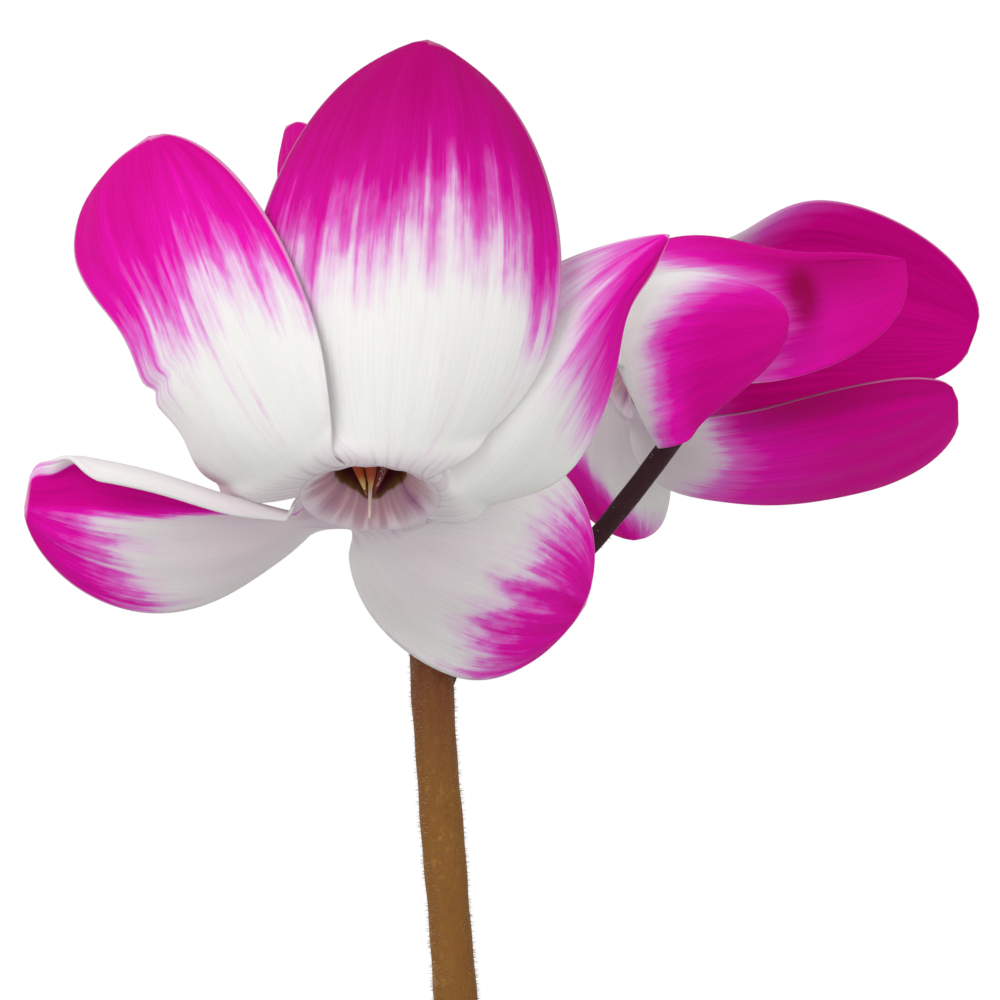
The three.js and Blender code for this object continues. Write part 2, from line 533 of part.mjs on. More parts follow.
// A leaf blade as two fans of triangles, alike on both faces, with a toothed rim.
function fan(surface, length) {
  const rings = [0.6, 1];
  const { spokes, teeth, thickness } = LEAF;
  const spot = (ring, k) => {
    const spin = (2 * Math.PI * k) / spokes;
    return surface(ring === 1 ? 1 + teeth * (k % 2 ? -1 : 1) : ring, spin);
  };
  const normalAt = (ring, k) => {
    const outward = spot(Math.min(1, ring + 0.1), k).sub(spot(ring - 0.1, k));
    const round = spot(ring, k + 1).sub(spot(ring, k + spokes - 1));
    return outward.cross(round).normalize();
  };
  const middle = surface(0, 0);
  const upright = surface(0.2, 0).sub(middle).cross(surface(0.2, Math.PI / 2).sub(middle)).normalize();
  const positions = [];
  for (const side of [0.5, -0.5]) {
    positions.push(...middle.clone().addScaledVector(upright, side * thickness).toArray());
    for (const ring of rings) {
      for (let k = 0; k < spokes; k++) {
        const thin = ring === 1 ? 0.75 : 1;
        const skin = spot(ring, k).addScaledVector(normalAt(ring, k), side * thickness * thin);
        positions.push(...skin.toArray());
      }
    }
  }
  const under = 1 + rings.length * spokes;
  const index = [];
  const at = (i, k) => 1 + i * spokes + (k % spokes);
  for (let k = 0; k < spokes; k++) {
    index.push(0, at(0, k), at(0, k + 1), under, under + at(0, k + 1), under + at(0, k));
    for (let i = 0; i < rings.length - 1; i++) {
      const [a, b, c, d] = [at(i, k), at(i, k + 1), at(i + 1, k + 1), at(i + 1, k)];
      index.push(a, c, b, a, d, c, under + a, under + b, under + c, under + a, under + c, under + d);
    }
    const [p, q] = [at(rings.length - 1, k), at(rings.length - 1, k + 1)];
    index.push(p, under + p, under + q, p, under + q, q);
  }
  const geometry = new THREE.BufferGeometry();
  geometry.setAttribute("position", new THREE.Float32BufferAttribute(positions, 3));
  geometry.setIndex(index);
  return solid(geometry);
}

function leafList() {
  const leaves = [];
  LEAF_RINGS.forEach((ring, level) => {
    for (let k = 0; k < ring.count; k++) {
      const n = leaves.length + 1;
      leaves.push({
        ...ring, azimuth: ring.start + (360 * k) / ring.count, seed: jitter(n),
        height: ring.height + 5 * (jitter(n + 20) - 0.5),
        length: ring.length * (0.95 + 0.08 * jitter(n + 40)),
        droop: ring.droop + 6 * (jitter(n + 60) - 0.5),
        radius: ring.radius + (level ? 1 : 4) * (jitter(n + 80) - 0.5),
      });
    }
  });
  return leaves;
}

// ---------------------------------------------------------------- the whole plant
const FINISHES = {
  clay: { color: 0xb5633c, roughness: 0.85 },
  soil: { color: 0x2a1d14, roughness: 1 },
  tuber: { color: 0x5a4030, roughness: 0.9 },
  leaf: { color: 0x2f5a35, roughness: 0.5 },
  petal: { color: 0xd0109a, roughness: 0.45 },
  stalk: { color: 0x8a5a2c, roughness: 0.6 },
  anther: { color: 0xb07a22, roughness: 0.7 },
};
const plant = new THREE.Group();

function addNode(name, body, finish) {
  const material = new THREE.MeshStandardMaterial({ ...FINISHES[finish], metalness: 0 });
  const mesh = new THREE.Mesh(geometryOf(body), material);
  mesh.name = name;
  plant.add(mesh);
}

const { solid: pot, inner } = makePot();
addNode("pot", pot, "clay");

const rooted = [];
BLOOMS.forEach((bloom, i) => {
  const frame = frameOf(bloom);
  const stalk = makeStalk(bloom, frame);
  rooted.push(stalk);
  addNode(`bloom_${i + 1}_corolla`, makeCorolla(bloom, frame), "petal");
  addNode(`bloom_${i + 1}_stamens`, makeStamens(bloom, frame), "anther");
  addNode(`bloom_${i + 1}_stalk`, stalk.body, "stalk");
});
BUDS.forEach((bud, i) => {
  const frame = budFrame(bud);
  const stalk = makeBudStalk(bud, frame);
  rooted.push(stalk);
  addNode(`bud_${i + 1}`, makeBud(bud, frame), "petal");
  addNode(`bud_${i + 1}_stalk`, stalk.body, "stalk");
});
leafList().forEach((leaf, i) => {
  const made = makeLeaf(leaf);
  rooted.push(made);
  addNode(`leaf_${String(i + 1).padStart(2, "0")}`, made.body, "leaf");
});

// Each stalk stands in a plain hole in the tuber, and the tuber in a hollow of the soil.
let tuber = makeTuber();
for (const { points, radius, step } of rooted) {
  const [foot, ...above] = points;
  tuber = tuber.subtract(sweep([foot.clone().setZ(foot.z - GAP), ...above], radius + GAP, step));
}
addNode("tuber", main(tuber), "tuber");
addNode("soil", main(makeSoil(inner).subtract(makeTuber(GAP))), "soil");

export default plant;
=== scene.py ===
"""A potted cyclamen: magenta and white reflexed blooms on hooked stalks, over marbled heart-shaped leaves
in a plain clay pot. Lengths are millimetres, but the finished meshes, the finishes, the stage and the sizes
that a user may change are in metres."""

import math

import bmesh
import bpy
import numpy as np
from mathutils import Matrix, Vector


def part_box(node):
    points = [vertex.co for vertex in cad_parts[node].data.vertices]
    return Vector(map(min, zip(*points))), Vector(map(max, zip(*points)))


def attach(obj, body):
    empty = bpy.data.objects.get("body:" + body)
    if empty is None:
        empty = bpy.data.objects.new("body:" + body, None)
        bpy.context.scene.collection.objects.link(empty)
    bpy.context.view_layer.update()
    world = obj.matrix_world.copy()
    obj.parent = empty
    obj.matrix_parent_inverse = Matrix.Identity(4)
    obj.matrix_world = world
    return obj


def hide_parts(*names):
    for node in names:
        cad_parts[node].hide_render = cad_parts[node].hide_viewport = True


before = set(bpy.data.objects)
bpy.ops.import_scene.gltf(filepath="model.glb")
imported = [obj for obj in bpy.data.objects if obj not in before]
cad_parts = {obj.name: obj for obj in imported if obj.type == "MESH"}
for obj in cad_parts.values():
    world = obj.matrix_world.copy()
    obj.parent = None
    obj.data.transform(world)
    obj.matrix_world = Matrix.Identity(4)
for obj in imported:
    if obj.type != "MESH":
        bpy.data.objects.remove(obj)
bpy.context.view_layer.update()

bl_info = {
    "name": "Potted cyclamen",
    "version": (1, 0, 0),
    "blender": (4, 5, 0),
    "location": "View3D > Sidebar > Cyclamen",
    "description": "Builds a flowering cyclamen in its pot, piece by piece",
    "category": "Add Mesh",
}

MM = 0.001
SEED = 11


# ---------------------------------------------------------------- the plant's layout, as in the solids
# A petal has its phase round the mouth, its flare from the rim, the two free points of its middle line (from
# the mouth), the directions across it half way and at the tip, its half width and its cup. Either side may
# have its own widest place, width at the base, bluntness of the tip, scale, crease, nicks (place, depth,
# spread), width of pale rim, and rolled margin: how tightly it rolls, from which share of the half width
# (roll_from), and over which last share of the length it opens again (release). The magenta begins at the
# shares of the length that flush gives from the left margin to the right one, and ragged is how far the
# streaks shift it. Tints and the shade patches are each patches (along, across, two spreads, strength):
# tints of magenta, and shade patches of painted shade, a dark crimson for folds, curled margins and a tip
# that lie in shadow. Cap is the deepest magenta; a low cap paints the light on a petal's top as paler
# magenta. The mauve cast on the white is painted shade for white that lies in shadow, and thin is the share
# of light that comes through.
PETAL = dict(flare=6, widest=0.6, base=0.36, blunt=0.8, cup=0.4, scale=1, crease=0, roll=0, roll_from=0,
             release=0.12, nicks=(), pale=0.35, ragged=0.62, tints=(), shades=(), cap=1, blush=0, thin=0.22)
FIRST = {
    "mouth": (-15, -30, 272), "facing": (0, -0.4695, -0.8829), "radius": 2.75, "scale": 1.0, "root": (1, -3),
    "stalk": [(-2.4, -2, 160), (-5.8, 0.8, 208), (-8.8, 4, 246), (-9.2, 1.4, 262), (-9.7, -5, 277),
              (-11.3, -11.5, 288.5), (-13.5, -17.6, 291.3), (-14.9, -22.6, 286.8)],
    "petals": [  # top, upper left, lower left, lower right and right
        dict(phase=20, flare=4, bend=(5, -15, 34), tip=(6.6, 0, 52.4), half=19.5, widest=0.54, base=0.33,
             blunt=0.95, cup=0.8, across=(1, 0, 0), across_tip=(1, 0, -0.1), right=dict(pale=0.7),
             # painted shade darkening the top petal towards its tip
             flush=(0.58, 0.6, 0.6, 0.64, 0.64, 0.7, 0.68, 0.59, 0.5), shades=((1.0, 0, 0.42, 2, 0.55),)),
        dict(phase=-52, flare=7, bend=(-20, -13, 18), tip=(-26, 4, 42), half=16, widest=0.62, base=0.34,
             cup=0.55, across=(0.77, -0.44, 0.34), across_tip=(0.8, -0.2, 0.4),
             left=dict(widest=0.88, base=0.95, blunt=0.42, scale=0.97,
                       nicks=((0.7, 0.24, 0.13), (0.57, 0.1, 0.02), (0.45, 0.2, 0.14))),
             right=dict(blunt=1.0, scale=0.78, pale=0.5),
             flush=(0.66, 0.66, 0.68, 0.64, 0.7, 0.74, 0.71, 0.66, 0.6)),
        dict(phase=-124, flare=8, bend=(-25, 4, -4), tip=(-40.5, 4, -1), half=15, widest=0.66, base=0.34,
             across=(0, -0.5, 0.8), across_tip=(0.1, -0.3, 0.9),
             left=dict(widest=0.62, base=0, scale=0.95, blunt=1.2),
             right=dict(roll=-3.4, roll_from=0.33, release=0.2, widest=0.85, base=0.1, blunt=0.6, scale=0.78,
                        nicks=((0.95, 0.38, 0.07),)),
             blush=1.0, flush=(0.68, 0.7, 0.78, 0.78, 0.84, 0.35, 0.0, 1.0, 1.0)),
        dict(phase=164, bend=(15, 22, -10), tip=(26, 36, -14), half=16.5, widest=0.55, base=0.3,
             across=(-0.5, 0, -0.86), across_tip=(-0.5, 0, -0.86),
             right=dict(widest=0.72, blunt=0.65, scale=0.92), blush=0.7, flush=(0.86, 0.8, 0.75, 0.72, 0.84)),
        dict(phase=92, bend=(19, -4, 13), tip=(34.8, 6, 30.8), half=12, base=0.5, blunt=1.1, cup=0.2,
             crease=0.7, across=(0.6, 0.3, -0.6), across_tip=(0.6, 0.5, -0.6),
             left=dict(blunt=1.75, nicks=((0.55, 0.22, 0.16),)),
             right=dict(widest=0.4, blunt=2, crease=0.35, scale=1.25, nicks=((0.88, 0.48, 0.08),)),
             flush=(0.94, 0.92, 0.88, 0.84, 0.75, 0.7, 0.65, 0.64, 0.67),
             tints=((0.88, -0.7, 0.3, 0.7, 1.0),), ragged=0.35),
    ],
}
SECOND = {
    "mouth": (15, 30, 290.5), "facing": (-0.8794, -0.1227, -0.4601), "radius": 1.4, "scale": 1.0,
    "root": (1, 4), "usual": dict(ragged=0.25, pale=0.02),
    "stalk": [(-2.6, 8, 158), (-6.1, 12, 205), (-8.2, 12, 232), (-8.9, 12, 240), (-7.6, 13.5, 247.2),
              (-3.2, 16, 254.5), (3.6, 18, 259.5), (10.9, 19, 264.3), (17.6, 19.5, 272), (24.6, 21, 281),
              (32, 24, 289), (38, 28, 295.5), (35.5, 31.5, 300), (28.5, 31.8, 298)],
    "petals": [  # near, upper, far, lower and back
        dict(phase=0, bend=(2, -25, 4), tip=(24, -14, 5.5), half=15, cup=0.45, across=(-0.55, 0, -0.83),
             across_tip=(0.35, 0.15, -0.9), left=dict(scale=0.55),
             right=dict(widest=0.5, base=0.8, blunt=0.9, scale=0.98),
             blush=0.3, flush=(0.9, 0.72, 0.55, 0.46, 0.36)),
        dict(phase=-72, bend=(18, -10, 12), tip=(42, -1, 15), half=12, widest=0.55, base=0.4,
             across=(-0.2, -0.5, -0.85), across_tip=(0.1, -0.3, -0.95), right=dict(scale=1.4),
             left=dict(widest=0.35, base=0.5, blunt=2.2, scale=0.9, nicks=((0.8, 0.45, 0.15),)),
             blush=0.8, flush=(0.3, 0.42, 0.62, 0.68, 0.6),
             # painted shade: a dark fold near the upper petal's tip, and a small dark curl of shadow beside
             # the near petal's tip
             shades=((0.84, -0.1, 0.16, 0.6, 0.6), (0.775, 0.32, 0.033, 0.33, 0.9))),
        dict(phase=-144, bend=(22, 16, 17), tip=(57, 22, 7), half=13.5, widest=0.72, blunt=0.72, cup=0.5,
             across=(0, -0.4, 0.9), across_tip=(0.2, -0.2, 0.95), left=dict(widest=0.5, scale=1.3),
             right=dict(widest=0.6, base=0.05, scale=1.3, blunt=1.1,
                        nicks=((0.42, 0.2, 0.12), (0.56, 0.37, 0.1))),
             # the low cap paints light: the far petal's magenta is kept paler where light falls on its top
             blush=0.3, flush=(0.5, 0.5, 0.5, 0.55, 0.68), thin=0.7, cap=0.14, ragged=0.12),
        dict(phase=84, bend=(16, 5, -18), tip=(50.5, 4, -4.5), half=11.5, widest=0.7, base=0.4, blunt=0.65,
             cup=0.3, across=(0.2, 0.7, -0.65), across_tip=(0.15, 0.7, -0.65), left=dict(scale=0.8),
             right=dict(widest=0.86, scale=1.35, nicks=((0.55, 0.15, 0.15),)),
             # painted shade in the fold under the lower petal's top margin
             blush=1.0, flush=(0.42, 0.5, 0.55, 0.55, 0.5), shades=((0.75, -0.9, 0.3, 0.4, 0.7),)),
        dict(phase=150, flare=8, bend=(0, 22, -14), tip=(6, 34, -25), half=11, across=(-0.8, 0.3, 0.3),
             across_tip=(-0.9, 0, 0.3), left=dict(scale=0.8), blush=0.8, flush=(1.0, 0.95, 0.85, 0.6, 0.5)),
    ],
}
THIRD = {
    "mouth": (-10, 42, 287), "facing": (0, -0.342, -0.9397), "radius": 1.75, "scale": 0.86, "root": (-1, 10),
    "stalk": [(-3.6, 13, 140), (-5.4, 17, 176), (-7.6, 25, 215), (-8.6, 33, 245), (-9.2, 44, 267),
              (-10.1, 53.5, 283), (-10.3, 57, 296), (-10.2, 54.5, 304.5), (-10, 49.3, 304.5)],
    # its petals are step degrees apart, each its own way out from the axis and back along it
    "step": 61, "spread": (19, 24.5, 12, 13, 18), "reach": (42, 38, 43, 43, 42), "half": 11,
}
TUBE = {"rim": 8.0, "throat": 3.7, "depth": 7.4, "wall": 0.9}
SECTOR = 36  # degrees of the rim on either side of a petal's middle
SEPAL = {"count": 5, "length": 8.5, "half_width": 2.1, "foot": 2.2, "turn": 0.6, "thickness": 0.6}
STEM_GAP = 0.35
STALK = {"places": 150, "sides": 28, "swell": 1.25, "hair_spacing": 0.3, "dense_spacing": 0.02}
HAIR = {"foot": 0.035, "tip": 0.006, "sink": 0.02}
TUBER = {"radius": 25.0, "half_height": 15.0, "centre": 92.0, "root_depth": 5.0}
BUD = {"radius": 4.6, "twist": 1.6, "ridges": 5, "ridge": 0.13, "stalk": 1.5, "hook": 6.5, "sides": 18,
       "swell": 1.35, "hair_spacing": 0.2}
BUD_SEPAL = {"length": 6.0, "turn": 0.0, "thickness": 0.5, "scale": 0.85, "end": -0.6, "radius": 2.6}
BUDS = [
    {"azimuth": 167, "root": 8, "reach": 29, "height": 195, "length": 21},
    {"azimuth": 311, "root": 9, "reach": 30, "height": 193, "length": 18},
    {"azimuth": 23, "root": 8, "reach": 28, "height": 196, "length": 17},
]
LEAF_RINGS = [
    {"count": 8, "root": 18, "radius": 70, "height": 136, "length": 40, "droop": 24, "start": 6},
    {"count": 5, "root": 13, "radius": 41, "height": 166, "length": 35, "droop": 13, "start": 59},
    {"count": 1, "root": 12, "radius": 19, "height": 134, "length": 12.5, "droop": -15, "start": 240},
]
LEAF = {"petiole": 1.6, "young_petiole": 1.12, "young": 30, "roll": 9.0, "teeth": 44, "sides": 16,
        "swell": 1.1}
POT = {"foot": 41.0, "body_top": 55.0, "rim_height": 20, "wall": 4.5, "floor": 6.0}
DRAIN = {"count": 4, "circle": 22, "foot": 4.6, "top": 3.6, "height": 30}
SOIL = {"top": 93.0, "dome": 3, "gap": 0.3, "depth": 16, "crumbs": 1500}
# Rows and columns, rings and spokes, or steps of a turn
DETAIL = {"petal": (84, 56), "sepal": (16, 10), "bud": (60, 60), "leaf": (34, 176), "soil": (70, 150),
          "tuber": (70, 120), "tube": 72, "pot": 128}


# ---------------------------------------------------------------- sizes and colours that a user may change
class CyclamenSizes(bpy.types.PropertyGroup):
    """Sizes of the finest things, in metres"""

    petal: bpy.props.FloatProperty(
        name="Petal thickness", description="Thickness of a petal", default=0.00045, unit="LENGTH")
    leaf: bpy.props.FloatProperty(
        name="Leaf thickness", description="Thickness of a leaf blade", default=0.0008, unit="LENGTH")
    hair: bpy.props.FloatProperty(
        name="Hair length", description="Length of the hairs on the stalks", default=0.0005, unit="LENGTH")
    clod: bpy.props.FloatProperty(
        name="Clod size", description="Size of the largest crumbs of soil", default=0.0022, unit="LENGTH")
    floor: bpy.props.FloatProperty(
        name="Floor radius", description="Radius of the pale floor", default=0.9, unit="LENGTH")


def colour(name, description, default):
    return bpy.props.FloatVectorProperty(
        name=name, description=description, subtype="COLOR", size=3, min=0, max=1, default=default)


class CyclamenColours(bpy.types.PropertyGroup):
    """Base colours of the finishes"""

    magenta: colour("Magenta", "The petals' outer half", (0.84, 0.005, 0.50))
    deep: colour("Deep magenta", "The petals' tips and shaded veins", (0.69, 0.0, 0.31))
    lilac: colour("Lilac", "Where magenta fades into white", (0.80, 0.18, 0.68))
    white: colour("Petal white", "The petals' inner half", (0.85, 0.845, 0.825))
    throat: colour("Throat", "The band round the mouth", (0.58, 0.35, 0.39))
    stalk: colour("Stalk", "The fleshy flower stalk", (0.27, 0.12, 0.012))
    dark_stalk: colour("Dark stalk", "The thinner stalks near their blooms", (0.032, 0.002, 0.007))
    anther: colour("Anther", "The anthers' powdery faces", (0.55, 0.27, 0.03))
    leaf: colour("Leaf green", "The leaf's dark zones", (0.018, 0.075, 0.03))
    silver: colour("Leaf silver", "The leaf's pale pattern", (0.22, 0.36, 0.27))
    clay: colour("Clay", "The fired clay of the pot", (0.46, 0.17, 0.075))
    soil: colour("Soil", "The potting soil", (0.032, 0.019, 0.011))
    tuber: colour("Tuber", "The tuber's corky skin", (0.11, 0.062, 0.036))


# The other colours, by name
TONES = {
    # the mauve-grey tone on the next line is painted shade for the white of petals that lie in shadow
    "pale_lilac": (0.82, 0.58, 0.80), "petal_vein": (0.40, 0.0, 0.14), "blush": (0.74, 0.64, 0.69),
    "faint_vein": (0.50, 0.53, 0.49), "rosy_rim": (0.84, 0.52, 0.76), "mauve_base": (0.62, 0.46, 0.56),
    # the dark crimson on the next line paints shade into the petals' folds and tips
    "pleat": (0.42, 0.26, 0.38), "painted_shade_crimson": (0.30, 0.0, 0.07), "throat_rim": (0.72, 0.61, 0.665),
    "throat_stripe": (0.32, 0.12, 0.19), "stain": (0.26, 0.03, 0.22), "hole": (0.085, 0.004, 0.016),
    "hole_edge": (0.19, 0.09, 0.012), "hole_line": (0.06, 0.008, 0.008), "pollen": (0.42, 0.07, 0.008),
    "pollen_tip": (0.62, 0.46, 0.14), "maroon": (0.10, 0.006, 0.012), "maroon_light": (0.20, 0.025, 0.03),
    # the stalk-top tone on the next line is partly the stalk's own reddish brown and partly painted shade
    # beneath the bloom
    "cream": (0.66, 0.48, 0.40), "cream_light": (0.76, 0.60, 0.54), "stalk_top_red_and_painted_shade": (0.15, 0.03, 0.015),
    "olive_light": (0.36, 0.20, 0.03), "olive_dark": (0.12, 0.032, 0.006), "plum_light": (0.09, 0.012, 0.025),
    "plum_dark": (0.015, 0.001, 0.004), "hair": (0.62, 0.50, 0.34), "hair_dark": (0.30, 0.17, 0.07),
    "leaf_light": (0.03, 0.11, 0.03), "leaf_vein": (0.16, 0.25, 0.12), "underside": (0.20, 0.035, 0.07),
    "underside_dull": (0.12, 0.05, 0.05), "clay_light": (0.56, 0.25, 0.13), "clay_bloom": (0.62, 0.44, 0.34),
    "clay_ring": (0.30, 0.10, 0.05), "soil_light": (0.09, 0.052, 0.03), "fleck": (0.26, 0.19, 0.12),
    "cork_light": (0.20, 0.13, 0.08), "crack": (0.03, 0.018, 0.012), "paper": (0.86, 0.86, 0.86),
    "paper_light": (0.90, 0.90, 0.90), "sky": (1.0, 1.0, 1.0),
}


def sizes():
    return bpy.context.scene.cyclamen_sizes


def tint(name):
    """A colour with its alpha: one of TONES, or one that a user may change."""
    fixed = TONES.get(name)
    return (*(fixed or getattr(bpy.context.scene.cyclamen_colours, name)), 1.0)


# ---------------------------------------------------------------- small sums
def vec(*values):
    return np.array(values, float)


def unit(v):
    return v / np.linalg.norm(v, axis=-1, keepdims=True)


def smooth(x):
    x = np.clip(x, 0, 1)
    return x * x * (3 - 2 * x)


def jitter(n):
    """A number from 0 to 1 that looks random but depends only on n."""
    x = math.sin(n * 127.1 + 311.7) * 43758.5453
    return x - math.floor(x)


def crown(radius):
    """The height of the tuber's top at a distance from its middle."""
    polar = math.asin(radius / TUBER["radius"])
    return TUBER["centre"] + TUBER["half_height"] * math.cos(polar) ** 0.8


def bezier(points, s):
    """Places on a cubic curve and its slopes there."""
    s = s[..., None]
    p0, p1, p2, p3 = points
    place = (1 - s) ** 3 * p0 + 3 * (1 - s) ** 2 * s * p1 + 3 * (1 - s) * s * s * p2 + s**3 * p3
    slope = 3 * (1 - s) ** 2 * (p1 - p0) + 6 * (1 - s) * s * (p2 - p1) + 3 * s * s * (p3 - p2)
    return place, slope


def spline(points, count):
    """A centripetal Catmull-Rom curve through the points, with evenly spaced places and their tangents."""
    p = [np.array(q, float) for q in points]
    p = [2 * p[0] - p[1], *p, 2 * p[-1] - p[-2]]
    fine = []
    for a, b, c, d in zip(p, p[1:], p[2:], p[3:]):
        t0 = 0.0
        t1 = t0 + max(np.linalg.norm(b - a), 1e-6) ** 0.5
        t2 = t1 + max(np.linalg.norm(c - b), 1e-6) ** 0.5
        t3 = t2 + max(np.linalg.norm(d - c), 1e-6) ** 0.5
        for t in np.linspace(t1, t2, 24, endpoint=False):
            a1 = a * (t1 - t) / (t1 - t0) + b * (t - t0) / (t1 - t0)
            a2 = b * (t2 - t) / (t2 - t1) + c * (t - t1) / (t2 - t1)
            a3 = c * (t3 - t) / (t3 - t2) + d * (t - t2) / (t3 - t2)
            b1 = a1 * (t2 - t) / (t2 - t0) + a2 * (t - t0) / (t2 - t0)
            b2 = a2 * (t3 - t) / (t3 - t1) + a3 * (t - t1) / (t3 - t1)
            fine.append(b1 * (t2 - t) / (t2 - t1) + b2 * (t - t1) / (t2 - t1))
    fine = np.array([*fine, p[-2]])
    reach = np.concatenate([[0], np.cumsum(np.linalg.norm(np.diff(fine, axis=0), axis=1))])
    even = np.linspace(0, reach[-1], count)
    places = np.stack([np.interp(even, reach, fine[:, k]) for k in range(3)], axis=1)
    tangents = unit(np.gradient(places, axis=0))
    return places, tangents, even


# ---------------------------------------------------------------- meshes
def coordinates(bm):
    return np.array([v.co for v in bm.verts], float)


def place(bm, points):
    for v, p in zip(bm.verts, points):
        v.co = p


def weld(bm, distance=1e-4):
    bmesh.ops.remove_doubles(bm, verts=bm.verts, dist=distance)


def face_out(bm):
    bmesh.ops.recalc_face_normals(bm, faces=bm.faces)


def attributes(bm, **values):
    """Stores a number on each vertex under each name; a single number goes to all of them."""
    for name, numbers in values.items():
        layer = bm.verts.layers.float.get(name) or bm.verts.layers.float.new(name)
        for v, x in zip(bm.verts, np.broadcast_to(numbers, len(bm.verts))):
            v[layer] = float(x)


def write_uv(bm, u, v):
    """Writes the UV map from one u and one v for each vertex."""
    bm.verts.index_update()
    layer = bm.loops.layers.uv.new("UVMap")
    for face in bm.faces:
        for loop in face.loops:
            loop[layer].uv = (u[loop.vert.index], v[loop.vert.index])


def grid(rows, columns, shift=0.0):
    """A bmesh grid with its UV map, and each vertex's share along it and across it."""
    bm = bmesh.new()
    bmesh.ops.create_grid(bm, x_segments=rows, y_segments=columns, size=0.5)
    bmesh.ops.translate(bm, vec=(0.5, 0.5, 0), verts=bm.verts)
    along, across, _ = coordinates(bm).T
    write_uv(bm, along, across + shift)
    return bm, along, across


def spun(profile, segments):
    """A bmesh spun from a profile of (radius, height) points that starts on the axis."""
    bm = bmesh.new()
    line = [bm.verts.new((r, 0, h)) for r, h in profile]
    edges = [bm.edges.new(pair) for pair in zip(line, line[1:])]
    bmesh.ops.spin(bm, geom=line + edges, cent=(0, 0, 0), axis=(0, 0, 1), angle=2 * math.pi,
                   steps=segments, use_merge=True)
    weld(bm, 1e-5)
    return bm


def disc(rings, spokes):
    """A flat round bmesh of radius 1."""
    return spun([(k / rings, 0) for k in range(rings + 1)], spokes)


def sweep_frame(tangents):
    """Two directions across each tangent."""
    side = unit(np.cross(tangents, vec(0, -1, 0)))
    return side, np.cross(side, tangents)


def tube(places, tangents, radii, sides):
    """A closed bmesh tube along the places. Its UV runs along the tube and round it."""
    bm, along, turn = grid(len(places) - 1, sides)
    row = np.rint(along * (len(places) - 1)).astype(int)
    spin = 2 * math.pi * turn[:, None]
    side, other = sweep_frame(tangents)
    out = np.cos(spin) * side[row] + np.sin(spin) * other[row]
    place(bm, places[row] + radii[row][:, None] * out)
    attributes(bm, along=along)
    weld(bm)
    bmesh.ops.holes_fill(bm, edges=[e for e in bm.edges if e.is_boundary], sides=0)
    face_out(bm)
    return bm


def as_mesh(name, bm):
    mesh = bpy.data.meshes.new(name)
    bm.to_mesh(mesh)
    bm.free()
    return mesh


def merge(target, source):
    """Adds a bmesh to another, with its layers, and frees it."""
    mesh = as_mesh("part", source)
    target.from_mesh(mesh)
    bpy.data.meshes.remove(mesh)


def many(bm, count):
    """Replaces a small bmesh by count copies of it, and returns each vertex's copy number and shape."""
    shape = coordinates(bm)
    one = bpy.data.meshes.new("one")
    bm.to_mesh(one)
    for _ in range(count - 1):
        bm.from_mesh(one)
    bpy.data.meshes.remove(one)
    return np.repeat(np.arange(count), len(shape)), np.tile(shape, (count, 1))


def added(name, data):
    """A new object in the scene."""
    made = bpy.data.objects.new(name, data)
    bpy.context.scene.collection.objects.link(made)
    return made


def piece(name, bm, material, node, smooth_faces=True):
    """Turns a bmesh in millimetres into a finished object that stands for a node of the solids."""
    bmesh.ops.scale(bm, vec=(MM, MM, MM), verts=bm.verts)
    made = added(name, as_mesh(name, bm))
    made.data.materials.append(material)
    made.data.polygons.foreach_set("use_smooth", [smooth_faces] * len(made.data.polygons))
    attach(made, "root")
    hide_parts(node)
    return made


def thicken(made, thickness):
    wall = made.modifiers.new("Wall", "SOLIDIFY")
    wall.thickness = thickness
    wall.offset = 0.0


# ---------------------------------------------------------------- shader building
class Net:
    """A short way to write a node tree: each call adds one node and links or sets its inputs."""

    def __init__(self, tree):
        self.tree = tree

    def add(self, kind, settings=None, **inputs):
        node = self.tree.nodes.new(kind)
        for name, value in (settings or {}).items():
            setattr(node, name, value)
        for name, value in inputs.items():
            self.feed(node.inputs[int(name[1:]) if name[1:].isdigit() else name.replace("_", " ")], value)
        return node

    def feed(self, socket, value):
        """Links an input to a node or a socket, or sets it to a number, a vector or a colour by its name."""
        if isinstance(value, bpy.types.Node):
            value = value.outputs[0]
        if isinstance(value, bpy.types.NodeSocket):
            self.tree.links.new(value, socket)
        else:
            socket.default_value = tint(value) if isinstance(value, str) else value

    def read(self, name):
        return self.add("ShaderNodeAttribute", {"attribute_name": name}).outputs["Fac"]

    def space(self):
        return self.add("ShaderNodeTexCoord").outputs["Object"]

    def uv(self):
        return self.add("ShaderNodeUVMap").outputs[0]

    def math(self, operation, a, b=0.0, c=0.0):
        return self.add("ShaderNodeMath", {"operation": operation}, i0=a, i1=b, i2=c)

    def times(self, a, b, c=0.0):
        """a times b, plus c"""
        return self.math("MULTIPLY_ADD", a, b, c)

    def step(self, value, low, high, to_low=0.0, to_high=1.0):
        """A smooth step from to_low to to_high as value goes from low to high."""
        return self.add("ShaderNodeMapRange", {"interpolation_type": "SMOOTHSTEP"}, Value=value,
                        From_Min=low, From_Max=high, To_Min=to_low, To_Max=to_high)

    def noise(self, vector, scale, detail=3.0, rough=0.55, distortion=0.0):
        """Noise with one scale, or with one for each axis."""
        if isinstance(scale, tuple):
            vector, scale = self.add("ShaderNodeMapping", Vector=vector, Scale=scale), 1.0
        return self.add("ShaderNodeTexNoise", Vector=vector, Scale=scale, Detail=detail,
                        Roughness=rough, Distortion=distortion)

    def mix(self, share, a, b):
        return self.add("ShaderNodeMix", {"data_type": "RGBA"}, i0=share, i6=a, i7=b).outputs[2]

    def ramp(self, share, stops):
        node = self.add("ShaderNodeValToRGB", Fac=share)
        band = node.color_ramp
        while len(band.elements) < len(stops):
            band.elements.new(0.5)
        for element, (where, name) in zip(band.elements, stops):
            element.position = where
            element.color = tint(name)
        return node.outputs[0]

    def bump(self, height, strength, distance):
        return self.add("ShaderNodeBump", Height=height, Strength=strength, Distance=distance)


